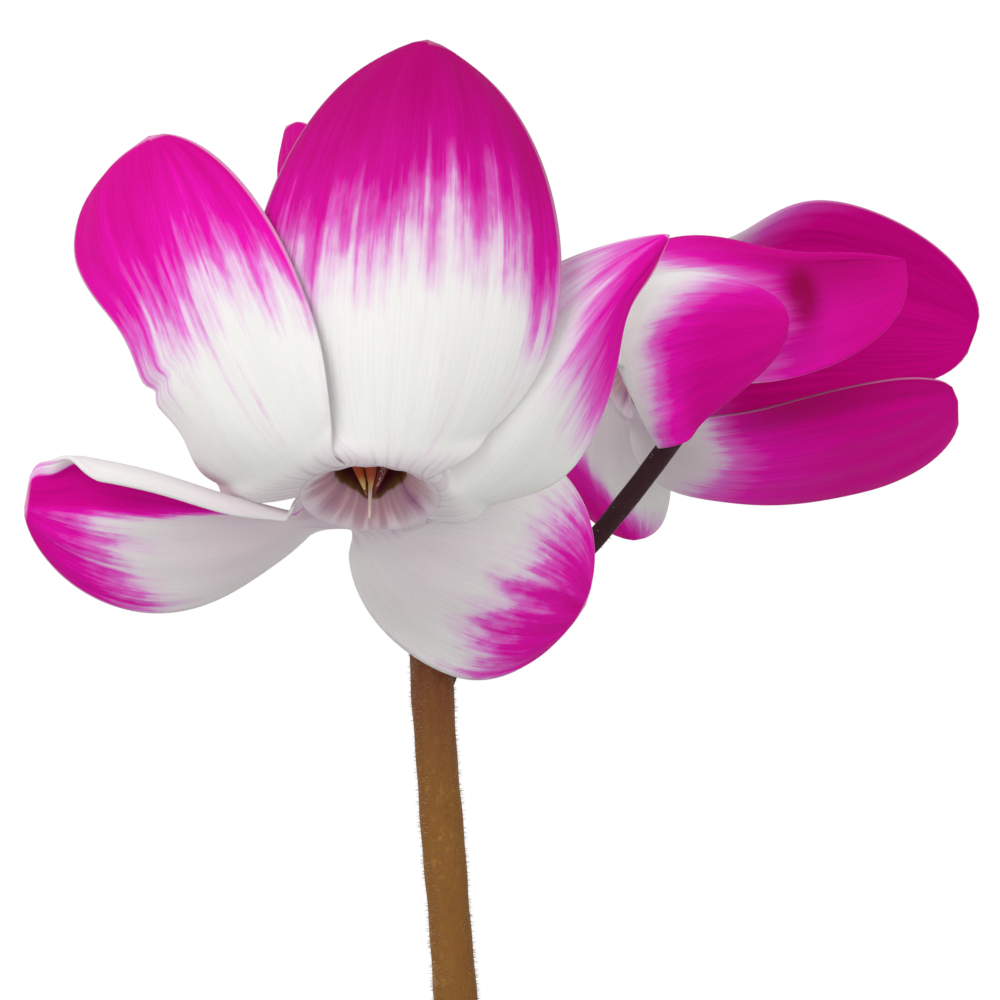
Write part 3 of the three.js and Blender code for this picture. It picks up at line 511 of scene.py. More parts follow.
def group(name, inputs, outputs):
    """Wraps fill(net, inputs), which returns a socket for each output, as a function that places its node
    group, built once, with the inputs' values."""

    def wrap(fill):
        def placed(net, **values):
            tree = bpy.data.node_groups.get(name)
            if not tree:
                tree = bpy.data.node_groups.new(name, "ShaderNodeTree")
                for label, kind in inputs.items():
                    tree.interface.new_socket(label, in_out="INPUT", socket_type=kind)
                for label in outputs:
                    tree.interface.new_socket(label, in_out="OUTPUT", socket_type="NodeSocketFloat")
                inner = Net(tree)
                source, sink = inner.add("NodeGroupInput"), inner.add("NodeGroupOutput")
                for label, socket in fill(inner, source.outputs).items():
                    inner.feed(sink.inputs[label], socket)
            return net.add("ShaderNodeGroup", {"node_tree": tree}, **values).outputs

        return placed

    return wrap


def material(name):
    """Wraps build(net), which returns Principled inputs and, if any, the share of light that comes through,
    as a function that makes the material once."""

    def wrap(build):
        def made():
            skin = bpy.data.materials.get(name)
            if skin:
                return skin
            skin = bpy.data.materials.new(name)
            skin.use_nodes = True
            skin.node_tree.nodes.clear()
            net = Net(skin.node_tree)
            inputs = build(net)
            through = inputs.pop("Through", None)
            surface = net.add("ShaderNodeBsdfPrincipled", None, **inputs)
            if through:
                glow = net.add("ShaderNodeBsdfTranslucent", Color=inputs["Base Color"])
                surface = net.add("ShaderNodeMixShader", Fac=through, i1=surface, i2=glow)
            net.add("ShaderNodeOutputMaterial", Surface=surface)
            return skin

        return made

    return wrap


@group("Grain", {"Vector": "NodeSocketVector", "Coarse share": "NodeSocketFloat"}, ("Mask", "Height"))
def grain(net, given):
    """Fine grain in real space: a mask from 0 to 1 and a height, for clay, soil, cork and stalks."""
    fine = net.noise(given["Vector"], 900.0, 5.0, 0.62)
    coarse = net.noise(given["Vector"], 130.0, 3.0, 0.5)
    height = net.times(coarse, given["Coarse share"], fine)
    return {"Mask": net.step(height, 0.45, 1.05), "Height": height}


@group("Petal streaks", {"UV": "NodeSocketVector"}, ("Streak", "Vein"))
def streaks(net, given):
    """Streaks that run along a petal, from its UV map: how far they carry the colour, and the fine veins."""
    broad = net.noise(given["UV"], (1.3, 13.0, 1.0), 2.0, 0.5)
    middle = net.noise(given["UV"], (2.4, 42.0, 1.0), 3.0, 0.6)
    fine = net.noise(given["UV"], (2.6, 120.0, 1.0), 2.0, 0.6)
    mottle = net.noise(given["UV"], (9.0, 14.0, 1.0), 3.0, 0.6)
    total = net.times(broad, 0.5, net.times(middle, 0.35, net.times(fine, 0.15, net.times(mottle, 0.35))))
    return {"Streak": net.math("SUBTRACT", total, 0.675), "Vein": fine}


# ---------------------------------------------------------------- materials
@material("petal_satin")
def petal_skin(net):
    marks = streaks(net, UV=net.uv())
    vein = marks["Vein"]
    base = net.read("base")
    depth = net.times(marks["Streak"], net.read("ragged"), net.read("flush"))
    fade = net.step(depth, -0.17, 0.17)
    body = net.ramp(fade, [(0.0, "white"), (0.28, "pale_lilac"), (0.55, "lilac"), (0.9, "magenta")])
    body = net.mix(net.step(depth, 0.05, 0.32), body, "deep")
    body = net.mix(net.times(net.step(vein, 0.42, 0.62, 0.3, 0.0), fade), body, "petal_vein")
    pale = net.step(fade, 0.0, 0.3, 1.0, 0.0)
    # painted shade: a mauve-grey cast on the white where a petal lies in shadow
    body = net.mix(net.times(net.read("blush"), net.step(fade, 0.1, 0.6, 1.0, 0.0)), body, "blush")
    faint = net.times(net.step(vein, 0.40, 0.56, 0.10, 0.0), pale)
    body = net.mix(net.times(faint, net.step(base, 0.05, 0.25)), body, "faint_vein")
    rim = net.step(net.read("margin"), 0.35, 1.0, 0.62, 0.0)
    body = net.mix(rim, body, net.mix(pale, "rosy_rim", "white"))
    near = net.step(base, 0.0, 0.15, 1.0, 0.0)
    body = net.mix(net.times(near, 0.42), body, "mauve_base")
    spot = net.add("ShaderNodeCombineXYZ", X=base, Y=net.read("lateral"))
    pleat = net.noise(spot, (2.0, 1.1, 1.0), 1.0, 0.4)
    body = net.mix(net.times(near, net.step(pleat, 0.34, 0.54, 0.36, 0.0)), body, "pleat")
    # painted shade: dark crimson patches where folds and curled margins lie in shadow, and towards a tip
    body = net.mix(net.times(net.read("shade"), fade), body, "painted_shade_crimson")
    folds = net.times(net.times(pleat, near), 6.0, net.noise(net.space(), 2600.0, 2.0))
    return {"Base Color": body, "Roughness": net.step(vein, 0.3, 0.7, 0.5, 0.6), "Specular IOR Level": 0.05,
            "Normal": net.bump(net.times(vein, 1.6, folds), 0.3, 0.00012), "Through": net.read("thin")}


@material("throat_flesh")
def throat_skin(net):
    lines = net.noise(net.uv(), (0.8, 26.0, 1.0), 2.0, 0.5)
    along = net.read("along")
    band = net.mix(net.step(along, 0.68, 1.0), "throat", "throat_rim")
    stripes = net.times(net.step(lines, 0.38, 0.58, 0.5, 0.0), net.step(along, 0.85, 1.02, 1.0, 0.25))
    band = net.mix(net.read("stain"), net.mix(stripes, band, "throat_stripe"), "stain")
    hole = net.mix(net.step(along, 0.50, 0.56), "hole", "hole_edge")
    hole = net.mix(net.step(lines, 0.4, 0.6, 0.5, 0.0), hole, "hole_line")
    fine = net.noise(net.space(), 3000.0, 2.0)
    return {"Base Color": net.mix(net.step(along, 0.545, 0.575), hole, band),
            "Roughness": net.step(fine, 0.3, 0.7, 0.45, 0.6), "Specular IOR Level": 0.2,
            "Normal": net.bump(net.times(lines, 5.0, fine), 0.3, 0.0001), "Through": 0.15}


@material("anther_pollen")
def anther_skin(net):
    grit = grain(net, Vector=net.space(), Coarse_share=0.9)
    body = net.mix(net.step(grit["Mask"], 0.2, 0.8), "anther", "pollen")
    body = net.mix(net.step(net.read("along"), 0.72, 0.95), body, "pollen_tip")
    body = net.mix(net.read("dark"), body, net.mix(grit["Mask"], "maroon", "maroon_light"))
    return {"Base Color": body, "Roughness": net.step(grit["Mask"], 0.0, 1.0, 0.6, 0.85),
            "Normal": net.bump(grit["Height"], 0.6, 0.0002)}


@material("style_cream")
def cream_skin(net):
    """The style and the anthers' wax-pale papillae."""
    tone = net.noise(net.space(), 900.0, 2.0)
    return {"Base Color": net.mix(tone, "cream", "cream_light"),
            "Roughness": net.step(tone, 0.3, 0.7, 0.4, 0.55), "Through": 0.15}


def fleshy_stalk(net, top, turn, light, dark):
    """A stalk that turns from its own colour to the top's between two shares of its length."""
    grit = grain(net, Vector=net.space(), Coarse_share=0.8)
    fibres = net.noise(net.uv(), (30.0, 14.0, 1.0), 3.0, 0.6)
    body = net.mix(net.step(net.read("along"), *turn), "stalk", top)
    body = net.mix(net.step(fibres, 0.4, 0.7, 0.0, 0.22), body, light)
    body = net.mix(net.step(grit["Mask"], 0.15, 0.8, 0.0, 0.55), body, dark)
    height = net.times(fibres, 1.2, grit["Height"])
    return {"Base Color": body, "Roughness": net.step(grit["Mask"], 0.0, 1.0, 0.5, 0.7),
            "Specular IOR Level": 0.25, "Normal": net.bump(height, 0.5, 0.0003)}


@material("stalk_maroon")
def dark_stalk_skin(net):
    return fleshy_stalk(net, "dark_stalk", (0.25, 0.55), "plum_light", "plum_dark")


@material("stalk_olive")
def olive_stalk_skin(net):
    # the first stalk darkens to red-brown near its top: partly its own colour, partly painted shade beneath
    # the bloom
    return fleshy_stalk(net, "stalk_top_red_and_painted_shade", (0.61, 0.72), "olive_light", "olive_dark")


@material("stalk_hair")
def hair_skin(net):
    tone = net.noise(net.space(), 400.0, 1.0)
    return {"Base Color": net.mix(tone, "hair", "hair_dark"),
            "Roughness": net.step(tone, 0.3, 0.7, 0.45, 0.6), "Through": 0.3}


@material("leaf_marbled")
def leaf_skin(net):
    """Dark green with a silver ring between two lobed edges, pale veins and a plum underside."""
    uv = net.uv()
    flat = net.add("ShaderNodeSeparateXYZ", Vector=uv)
    reach = net.add("ShaderNodeVectorMath", {"operation": "LENGTH"}, i0=uv).outputs["Value"]
    spin = net.math("ARCTAN2", flat.outputs[1], flat.outputs[0])
    vein = net.step(net.times(net.math("PINGPONG", spin, 0.3142), reach), 0.004, 0.022, 1.0, 0.0)
    wobble = net.noise(uv, 5.0, 3.0, 0.6)
    where = net.times(net.math("SUBTRACT", wobble, 0.5), 0.4, net.read("ring"))
    where = net.times(net.math("COSINE", net.times(spin, 10.0)), 0.05, where)
    silver = net.times(net.step(where, 0.72, 0.84, 1.0, 0.0), net.step(where, 0.34, 0.5))
    silver = net.times(silver, net.step(net.noise(uv, 60.0, 3.0, 0.7), 0.3, 0.6, 0.35, 0.95))
    body = net.mix(silver, net.mix(net.step(wobble, 0.35, 0.65), "leaf", "leaf_light"), "silver")
    body = net.mix(net.times(vein, 0.55), body, "leaf_vein")
    under = net.mix(net.step(wobble, 0.3, 0.7), "underside", "underside_dull")
    cells = net.add("ShaderNodeTexVoronoi", {"feature": "DISTANCE_TO_EDGE"}, Vector=uv, Scale=26.0)
    quilt = net.step(cells.outputs["Distance"], 0.0, 0.25)
    return {"Base Color": net.mix(net.read("under"), body, under),
            "Roughness": net.step(silver, 0.0, 1.0, 0.36, 0.5), "Specular IOR Level": 0.4,
            "Normal": net.bump(net.times(vein, -1.6, quilt), 0.4, 0.0003), "Through": 0.06}


@material("clay_fired")
def clay_skin(net):
    space = net.space()
    grit = grain(net, Vector=space, Coarse_share=0.7)
    rings = net.noise(space, (4.0, 4.0, 420.0), 2.0, 0.5)
    bloom = net.noise(space, 26.0, 5.0, 0.65, distortion=0.4)
    body = net.mix(net.step(grit["Mask"], 0.1, 0.9, 0.0, 0.5), "clay", "clay_light")
    body = net.mix(net.step(bloom, 0.52, 0.72, 0.0, 0.4), body, "clay_bloom")
    body = net.mix(net.step(rings, 0.45, 0.7, 0.0, 0.18), body, "clay_ring")
    return {"Base Color": body, "Roughness": net.step(bloom, 0.3, 0.7, 0.78, 0.92),
            "Normal": net.bump(net.times(rings, 2.2, grit["Height"]), 0.35, 0.0004)}


@material("soil_crumb")
def soil_skin(net):
    grit = grain(net, Vector=net.space(), Coarse_share=1.2)
    fleck = net.noise(net.space(), 420.0, 1.0)
    body = net.mix(net.step(grit["Mask"], 0.0, 1.0, 0.0, 0.8), "soil", "soil_light")
    body = net.mix(net.step(fleck, 0.68, 0.74, 0.0, 0.6), body, "fleck")
    return {"Base Color": body, "Roughness": net.step(fleck, 0.2, 0.8, 0.85, 1.0),
            "Normal": net.bump(grit["Height"], 0.8, 0.0006)}


@material("tuber_cork")
def tuber_skin(net):
    space = net.space()
    grit = grain(net, Vector=space, Coarse_share=1.0)
    cracks = net.add("ShaderNodeTexVoronoi", {"feature": "DISTANCE_TO_EDGE"}, Vector=space, Scale=330.0)
    crack = net.step(cracks.outputs["Distance"], 0.0, 0.12, 1.0, 0.0)
    body = net.mix(net.times(crack, 0.6), net.mix(grit["Mask"], "tuber", "cork_light"), "crack")
    return {"Base Color": body, "Roughness": net.step(grit["Mask"], 0.0, 1.0, 0.75, 0.95),
            "Normal": net.bump(net.times(crack, -1.2, grit["Height"]), 0.7, 0.0006)}


@material("floor_paper")
def floor_skin(net):
    tone = net.noise(net.space(), 6.0, 2.0)
    return {"Base Color": net.mix(tone, "paper", "paper_light"),
            "Roughness": net.step(tone, 0.3, 0.7, 0.7, 0.85)}


# ---------------------------------------------------------------- blooms
def mouth_frame(bloom):
    """The mouth's middle, the way that it faces, and the two directions in its plane."""
    facing = unit(vec(*bloom["facing"]))
    near = vec(0, -1, 0)
    near = unit(near - facing * (near @ facing))
    return vec(*bloom["mouth"]), facing, near, np.cross(near, facing)


def spoke(axes, angle):
    _, _, near, side = axes
    angle = np.asarray(angle)[..., None]
    return np.cos(angle) * near + np.sin(angle) * side


def from_mouth(axes, angle, out, forward):
    mouth, facing, _, _ = axes
    out, forward = np.asarray(out)[..., None], np.asarray(forward)[..., None]
    return mouth + spoke(axes, angle) * out + facing * forward


def half_width(s, side):
    """One side's width from the mouth to the tip, as a share of its widest, with any nicks in its margin."""
    widest, base = side["widest"], side["base"]
    rising = base + (1 - base) * np.sin(math.pi / 2 * np.minimum(s / widest, 1))
    falling = np.maximum(0, 1 - (np.maximum(s - widest, 0) / (1 - widest)) ** 2) ** (0.5 * side["blunt"])
    width = side["scale"] * np.where(s < widest, rising, falling)
    for spot, depth, spread in side["nicks"]:
        width = width * (1 - depth * np.exp(-(((s - spot) / spread) ** 2)))
    return width


def section(t, cup, crease, roll, roll_from):
    """How far a point across the petal lies out from its middle line, and how far behind it."""
    steps = 14
    out, back = np.zeros_like(t), np.zeros_like(t)
    for k in range(steps):
        q = t * (k + 0.5) / steps
        turn = cup * q + crease * np.tanh(6 * q)
        turn = turn + roll * np.maximum(0, (q - roll_from) / (1 - roll_from)) ** 1.5
        out += np.cos(turn) * t / steps
        back += np.sin(turn) * t / steps
    return out, back


def petal_sides(petal):
    """A petal's values for its left side and for its right one."""
    return [{**petal, **petal.get(side, {})} for side in ("left", "right")]


def petal_points(axes, petal, rim, s, t):
    """Points of a petal's surface: s runs from the mouth's rim to the tip and t from side to side."""
    mouth, _, near, side_way = axes
    phase = math.radians(petal["phase"])
    way = spoke(axes, phase)
    root = rim * way
    line = [root, root + petal["flare"] * way, vec(*petal["bend"]), vec(*petal["tip"])]
    centre = bezier(line, s)[0]
    along = unit(bezier(line, np.maximum(s, 1e-3))[1])
    tangent = math.cos(phase) * side_way - math.sin(phase) * near
    middle, end = unit(vec(*petal["across"])), unit(vec(*petal["across_tip"]))
    share = s[:, None]
    across = (1 - share) ** 2 * tangent + 2 * (1 - share) * share * middle + share**2 * end
    across = unit(across - along * np.sum(across * along, axis=1, keepdims=True))
    front = np.cross(across, along)
    left, right = petal_sides(petal)
    crease, roll, roll_from, release = (np.where(t > 0, right[name], left[name])
                                        for name in ("crease", "roll", "roll_from", "release"))
    opening = smooth(s / 0.18)
    out, back = section(np.abs(t), petal["cup"] * opening, crease * opening,
                        roll * smooth(s / 0.14) * smooth((1.0 - s) / release), roll_from)
    half = petal["half"] * np.where(t > 0, half_width(s, right), half_width(s, left))
    lobe = centre + (np.sign(t) * out * half)[:, None] * across - (back * half)[:, None] * front
    ring = rim * spoke(axes, phase + t * math.radians(SECTOR)) + centre - root
    blend = smooth(s / 0.12)[:, None]
    return mouth + ring * (1 - blend) + lobe * blend, front, half


def ruffle(s, t, seed):
    """Small swells of the blade, growing towards its margin, in mm."""
    calm = 0.16 * np.sin(9 * s + 5 * t + seed) + 0.12 * np.sin(16 * t + 2 * seed) * s
    wave = 0.35 * np.abs(t) ** 3 * np.sin(11 * s + 3 * seed + (t > 0))
    return (calm + wave) * smooth((s - 0.08) / 0.3) * smooth((1 - s) / 0.08)


def patches(spots, s, t):
    """Soft patches on a petal: each has its place along and across, its two spreads and its strength."""
    total = np.zeros(len(s))
    for along, across, long, wide, strength in spots:
        total += strength * np.exp(-(((s - along) / long) ** 2) - ((t - across) / wide) ** 2)
    return np.minimum(total, 1)


def petal_mesh(axes, petal, rim, seed):
    bm, row, column = grid(*DETAIL["petal"], 1.7 * seed)
    s, t = 1 - (1 - row) ** 1.25, 2 * column - 1
    points, front, half = petal_points(axes, petal, rim, s, t)
    place(bm, points + ruffle(s, t, seed)[:, None] * front)
    starts = np.interp(t, np.linspace(-1, 1, len(petal["flush"])), petal["flush"])
    flush = np.maximum(s - starts, 0.16 * patches(petal["tints"], s, t) - 0.2)
    length = np.linalg.norm(vec(*petal["tip"]) - rim * spoke(axes, math.radians(petal["phase"])))
    from_edge = np.minimum((1 - np.abs(t)) * np.maximum(half, 2), (1 - s) * length)
    left, right = petal_sides(petal)
    attributes(bm, flush=flush.clip(max=petal["cap"]), ragged=petal["ragged"], thin=petal["thin"], base=s,
               # the mauve cast is painted shade, strongest towards the base of petals in shadow
               blush=petal["blush"] * smooth((0.95 - s) / 0.6) * (1 - 0.55 * t**2),
               lateral=t * half + 13 * seed, margin=from_edge / np.where(t > 0, right["pale"], left["pale"]),
               # the shade patches carry painted shade
               shade=patches(petal["shades"], s, t))
    weld(bm)
    return bm


def reflexed_petals(bloom, axes):
    """Five petals folded straight back round the tube, by one rule."""
    _, facing, near, side = axes
    petals = []
    for k, (wide, reach) in enumerate(zip(bloom["spread"], bloom["reach"])):
        phase = bloom["step"] * (k - 2)
        angle = math.radians(phase)
        out = spoke(axes, angle)
        across = side * math.cos(angle) - near * math.sin(angle)
        petals.append(dict(phase=phase, flare=4, bend=wide * out - 0.5 * reach * facing,
                           tip=wide * out - reach * facing, half=bloom["half"], blunt=0.85, cup=0.6,
                           across=across, across_tip=across, flush=(0.45, 0.5, 0.55, 0.5, 0.45)))
    return petals


def tube_mesh(bloom, axes):
    """The short tube that the petals grow from, with its throat open."""
    scale = bloom["scale"]
    rim, throat, end, wall = (TUBE[k] for k in ("rim", "throat", "depth", "wall"))
    profile = [(0, -end), (throat - 0.6, -end), (throat, -5.5), (throat + 0.15, -4.2), (throat + 0.45, -3.1),
               (throat + 1.1, -2.1), (throat + 2.1, -1.2), (throat + 3.2, -0.45), (rim - 0.5, 0.12),
               (rim, 0.215), (rim + 0.25, 0.215), (rim + 0.1, -0.3), (rim - 0.8, -1.4), (throat + 2.0, -2.9),
               (throat + 1.1, -4.6), (throat - 0.6 + wall, -end), (throat - 1.2, -end - wall),
               (0, -end - wall)]
    bm = spun([(scale * r, scale * h) for r, h in profile], DETAIL["tube"])
    x, y, height = coordinates(bm).T
    angle, out = np.arctan2(y, x), np.hypot(x, y)
    write_uv(bm, out / rim, angle / (2 * math.pi))
    corner = 0.6 * np.exp(-(((math.pi - np.abs(angle)) / 0.38) ** 2))
    beside, beyond = (np.abs(angle) - 2.16) / 0.22, (out / scale - 5.5) / 1.3
    attributes(bm, along=(out / scale + 0.32 - corner) / rim,
               stain=np.where(angle > 0, 0.7, 0.25) * np.exp(-(beside**2) - beyond**2))
    ridge = 0.10 * np.cos(15 * angle) * (out > scale * (throat - 0.5)) * (out < scale * rim)
    place(bm, from_mouth(axes, angle, out, height + ridge))
    face_out(bm)
    return bm


ANTHERS = 5
ANTHER_TONES = (0.35, 1.0, 1.0, 0.8, 0.0)  # from yellow to maroon, round the style from the nearest anther
PAPILLAE = ((0, 0.1, 0.4, 12), (1, -0.6, 0.3, 80))  # anther, turns on it from and to, count


def anther_line(scale, k, share):
    """An anther's distance from the axis, its height and its radius, from its foot to its tip."""
    floor = -scale * TUBE["depth"] + STEM_GAP
    out = scale * np.interp(share, (0, 0.45, 1), (1.0, 1.55, 0.3 + 0.1 * k))
    height = floor + (-(0.2 + 0.3 * ((k + 1) % 3)) * scale - floor) * share
    return out, height, scale * np.interp(share, (0, 0.1, 0.5, 0.8, 1), (0.5, 0.85, 0.8, 0.42, 0.1))


def stamen_mesh(bloom, axes):
    """Five anthers that lean together into a cone round the style."""
    bm = bmesh.new()
    share = np.linspace(0, 1, 20)
    for k in range(ANTHERS):
        out, height, radii = anther_line(bloom["scale"], k, share)
        places = from_mouth(axes, 2 * math.pi * k / ANTHERS + 0.2 * share**2, out, height)
        anther = tube(places, unit(np.gradient(places, axis=0)), radii, 16)
        attributes(anther, dark=ANTHER_TONES[k])
        merge(bm, anther)
    return bm


def papilla_mesh(bloom, axes):
    """Pale grains scattered over the faces of the two foremost anthers."""
    draw = np.random.default_rng(SEED)
    grains = [(k, draw.uniform(low, high)) for k, low, high, count in PAPILLAE for _ in range(count)]
    bm = bmesh.new()
    bmesh.ops.create_icosphere(bm, subdivisions=1, radius=1)
    copy, shape = many(bm, len(grains))
    spots, size = [], []
    for k, turn in grains:
        share = draw.uniform(0.38, 0.93)
        out, height, radius = (float(x) for x in anther_line(bloom["scale"], k, share))
        turn = turn * out / 1.5 + 0.2 * share**2
        beside = out * math.sin(turn)
        surface = out * math.cos(turn) + math.sqrt(max(0.0, radius**2 - beside**2))
        spots.append(from_mouth(axes, 2 * math.pi * k / ANTHERS + turn, surface, height))
        size.append(bloom["scale"] * draw.uniform(0.05, 0.09))
    place(bm, np.array(spots)[copy] + shape * np.array(size)[copy][:, None])
    return bm


def style_mesh(bloom, axes):
    scale = bloom["scale"]
    share = np.linspace(0, 1, 12)
    floor = -scale * TUBE["depth"] + STEM_GAP
    low, high = from_mouth(axes, 0.0, 0.0, floor), from_mouth(axes, 0.0, 0.0, 2.7 * scale)
    places = low + share[:, None] * (high - low)
    along = np.repeat(unit(high - low)[None], len(share), axis=0)
    return tube(places, along, np.interp(share, (0, 0.7, 0.9, 1), (0.35, 0.22, 0.16, 0.1)), 12)


def sepal_mesh(axes, sepal, middle):
    """A sepal that clasps what it holds, from that thing's end up to its radius."""
    bm, s, column = grid(*DETAIL["sepal"])
    t = 2 * column - 1
    scale, foot, hug = sepal["scale"], sepal["foot"], np.minimum(1, s / 0.3)
    widening = sepal["radius"] + STEM_GAP + 0.75 - foot
    out = (foot + widening * smooth(hug) + 0.9 * np.maximum(0, s - 0.6)) * scale
    wide = sepal["half_width"] * scale * np.sqrt(np.maximum(0, 1 - s**2.2)) * (0.75 + 0.25 * hug) / out
    rise = sepal["length"] * scale * s * s * (0.4 + 0.6 / (s + 0.4) / 1.1)
    height = -(sepal["end"] + STEM_GAP) - 1.1 * scale + 0.35 + rise
    place(bm, from_mouth(axes, middle + t * wide, out - 0.25 * t * t, height))
    attributes(bm, along=0.9)
    weld(bm)
    return bm


def stalk_route(root, rest):
    top = crown(math.hypot(*root))
    return [(*root, top - TUBER["root_depth"]), (*root, top + 2), *rest]


def stalk_mesh(route, radius, sides, swell):
    """A slightly uneven stalk that swells at its end, with its places, tangents and radii."""
    places, tangents, reach = spline(route, STALK["places"])
    thick = radius * (1 + 0.02 * np.sin(reach * 0.31) + 0.015 * np.sin(reach * 0.83 + 1))
    thick = thick * (1 + (swell - 1) * smooth((reach / reach[-1] - 0.97) / 0.03))
    return tube(places, tangents, thick, sides), places, tangents, thick


def hair_mesh(places, tangents, thick, spacing, seed):
    """Fine upright hairs scattered over a stalk, each a thin three-sided spike."""
    draw = np.random.default_rng(seed)
    reach = float(np.sum(np.linalg.norm(np.diff(places, axis=0), axis=1)))
    count = int(reach / spacing)
    bm = bmesh.new()
    bmesh.ops.create_cone(bm, segments=3, radius1=HAIR["foot"], radius2=HAIR["tip"], depth=1)
    copy, shape = many(bm, count)
    k, share = draw.integers(4, len(places) - 2, count), draw.random((count, 1))
    centre = places[k] * (1 - share) + places[k + 1] * share
    side, other = sweep_frame(tangents[k])
    angle = draw.uniform(0, 2 * math.pi, (count, 1))
    out = np.cos(angle) * side + np.sin(angle) * other
    round_way = np.cos(angle) * other - np.sin(angle) * side
    tall = sizes().hair / MM * draw.uniform(0.5, 1.25, (count, 1))
    lean = unit(out + tangents[k] * draw.uniform(-0.5, 0.5, (count, 1)) + 0.3 * round_way)
    middle = centre + out * (thick[k][:, None] - HAIR["sink"]) + lean * tall / 2
    x, y, z = shape.T[..., None]
    place(bm, middle[copy] + x * unit(np.cross(lean, round_way))[copy] + y * round_way[copy]
          + z * (lean * tall)[copy])
    return bm


def build_stem(name, skin, route, radius, sides, swell, spacing, seed):
    body, *line = stalk_mesh(route, radius, sides, swell)
    piece(f"{name}_stem", body, skin, f"{name}_stalk")
    piece(f"{name}_hairs", hair_mesh(*line, spacing, seed), hair_skin(), f"{name}_stalk",
          smooth_faces=False)


def build_calyx(name, skin, axes, sepal):
    """Sepals that hug the end of a tube or a bud."""
    calyx = bmesh.new()
    for k in range(sepal["count"]):
        merge(calyx, sepal_mesh(axes, sepal, 2 * math.pi * k / sepal["count"] + sepal["turn"]))
    thicken(piece(f"{name}_sepals", calyx, skin, f"{name}_stalk"), sepal["thickness"] * MM)


def build_bloom(number, bloom):
    name, scale, axes = f"bloom_{number}", bloom["scale"], mouth_frame(bloom)
    corolla = bmesh.new()
    for k, petal in enumerate(bloom.get("petals") or reflexed_petals(bloom, axes)):
        petal = {**PETAL, **bloom.get("usual", {}), **petal}
        merge(corolla, petal_mesh(axes, petal, scale * TUBE["rim"], k + 5 * number))
    thicken(piece(f"{name}_petals", corolla, petal_skin(), f"{name}_corolla"), sizes().petal)
    piece(f"{name}_tube", tube_mesh(bloom, axes), throat_skin(), f"{name}_corolla")
    for part, make, skin in (("anthers", stamen_mesh, anther_skin), ("papillae", papilla_mesh, cream_skin),
                             ("style", style_mesh, cream_skin)):
        piece(f"{name}_{part}", make(bloom, axes), skin(), f"{name}_stamens")
    end = scale * (TUBE["depth"] + TUBE["wall"])
    route = stalk_route(bloom["root"], [*bloom["stalk"], from_mouth(axes, 0.0, 0.0, -end - STEM_GAP - 0.3)])
    skin, spacing = ((olive_stalk_skin(), STALK["dense_spacing"]) if number == 1
                     else (dark_stalk_skin(), STALK["hair_spacing"]))
    build_stem(name, skin, route, bloom["radius"], STALK["sides"], STALK["swell"], spacing, SEED + number)
    build_calyx(name, skin, axes, {**SEPAL, "scale": scale, "end": end,
                                   "radius": TUBE["throat"] + TUBE["wall"] + STEM_GAP})


# ---------------------------------------------------------------- buds
def bud_axes(bud):
    angle = math.radians(bud["azimuth"])
    out = vec(math.cos(angle), math.sin(angle), 0)
    root = bud["root"] * out
    root[2] = crown(bud["root"])
    top = bud["reach"] * out
    top[2] = bud["height"]
    facing = unit(0.35 * out + vec(0, 0, -1))
    near = unit(out - facing * (out @ facing))
    mouth = top + (2 * BUD["hook"] - 1) * out + vec(0, 0, -9)
    return out, root, top, (mouth, facing, near, np.cross(near, facing))


def bud_mesh(bud, axes):
    """A spirally rolled bud."""
    bm, v, turn = grid(*DETAIL["bud"])
    angle = 2 * math.pi * turn
    swell = np.maximum(0, np.sin(math.pi * np.clip(v, 0, 1) ** 0.62)) ** 0.8 * (1 - 0.35 * v)
    lap = (BUD["ridges"] * (angle + BUD["twist"] * v) / (2 * math.pi)) % 1
    ridge = 1 + BUD["ridge"] * (1.2 * lap - 0.6) * smooth(v / 0.2)
    place(bm, from_mouth(axes, angle, BUD["radius"] * swell * ridge, STEM_GAP + bud["length"] * v))
    attributes(bm, flush=v - 0.42, ragged=0.6, margin=np.minimum(lap, 1 - lap) * 12 + 0.3, base=v,
               lateral=angle * BUD["radius"], shade=0, blush=0, thin=0.15)
    weld(bm, 1e-3)
    face_out(bm)
    return bm


def build_bud(number, bud):
    name = f"bud_{number}"
    out, root, top, axes = bud_axes(bud)
    mouth, facing, _, _ = axes
    up = vec(0, 0, 1)
    rest = [root + 0.35 * (top - root) - 6 * out, root + 0.7 * (top - root) - 5 * out, top,
            top + BUD["hook"] * out + 5.5 * up, mouth - 3.5 * facing + 1.5 * up, mouth - 0.4 * facing]
    route = stalk_route(root[:2], rest)
    skin = dark_stalk_skin()
    piece(f"{name}_petals", bud_mesh(bud, axes), petal_skin(), name)
    build_stem(name, skin, route, BUD["stalk"], BUD["sides"], BUD["swell"], BUD["hair_spacing"],
               SEED + 10 + number)
    build_calyx(name, skin, axes, {**SEPAL, **BUD_SEPAL})


# ---------------------------------------------------------------- leaves
def leaf_list():
    leaves = []
    for level, ring in enumerate(LEAF_RINGS):
        for k in range(ring["count"]):
            n = len(leaves) + 1
            leaf = dict(ring, azimuth=ring["start"] + 360 * k / ring["count"], seed=jitter(n))
            leaf["height"] += 5 * (jitter(n + 20) - 0.5)
            leaf["length"] *= 0.95 + 0.08 * jitter(n + 40)
            leaf["droop"] += 6 * (jitter(n + 60) - 0.5)
            leaf["radius"] += (1 if level else 4) * (jitter(n + 80) - 0.5)
            leaves.append(leaf)
    return leaves


def leaf_reach(spin, length):
    """The blade's reach from its stalk at an angle off its tip, with a notch at the back."""
    off = np.abs(np.arctan2(np.sin(spin), np.cos(spin)))
    tip = 0.16 * np.exp(-((off / 0.42) ** 2))
    notch = 0.74 * np.exp(-(((math.pi - off) / 0.3) ** 2))
    return length * (0.84 + tip) * (1 - notch)


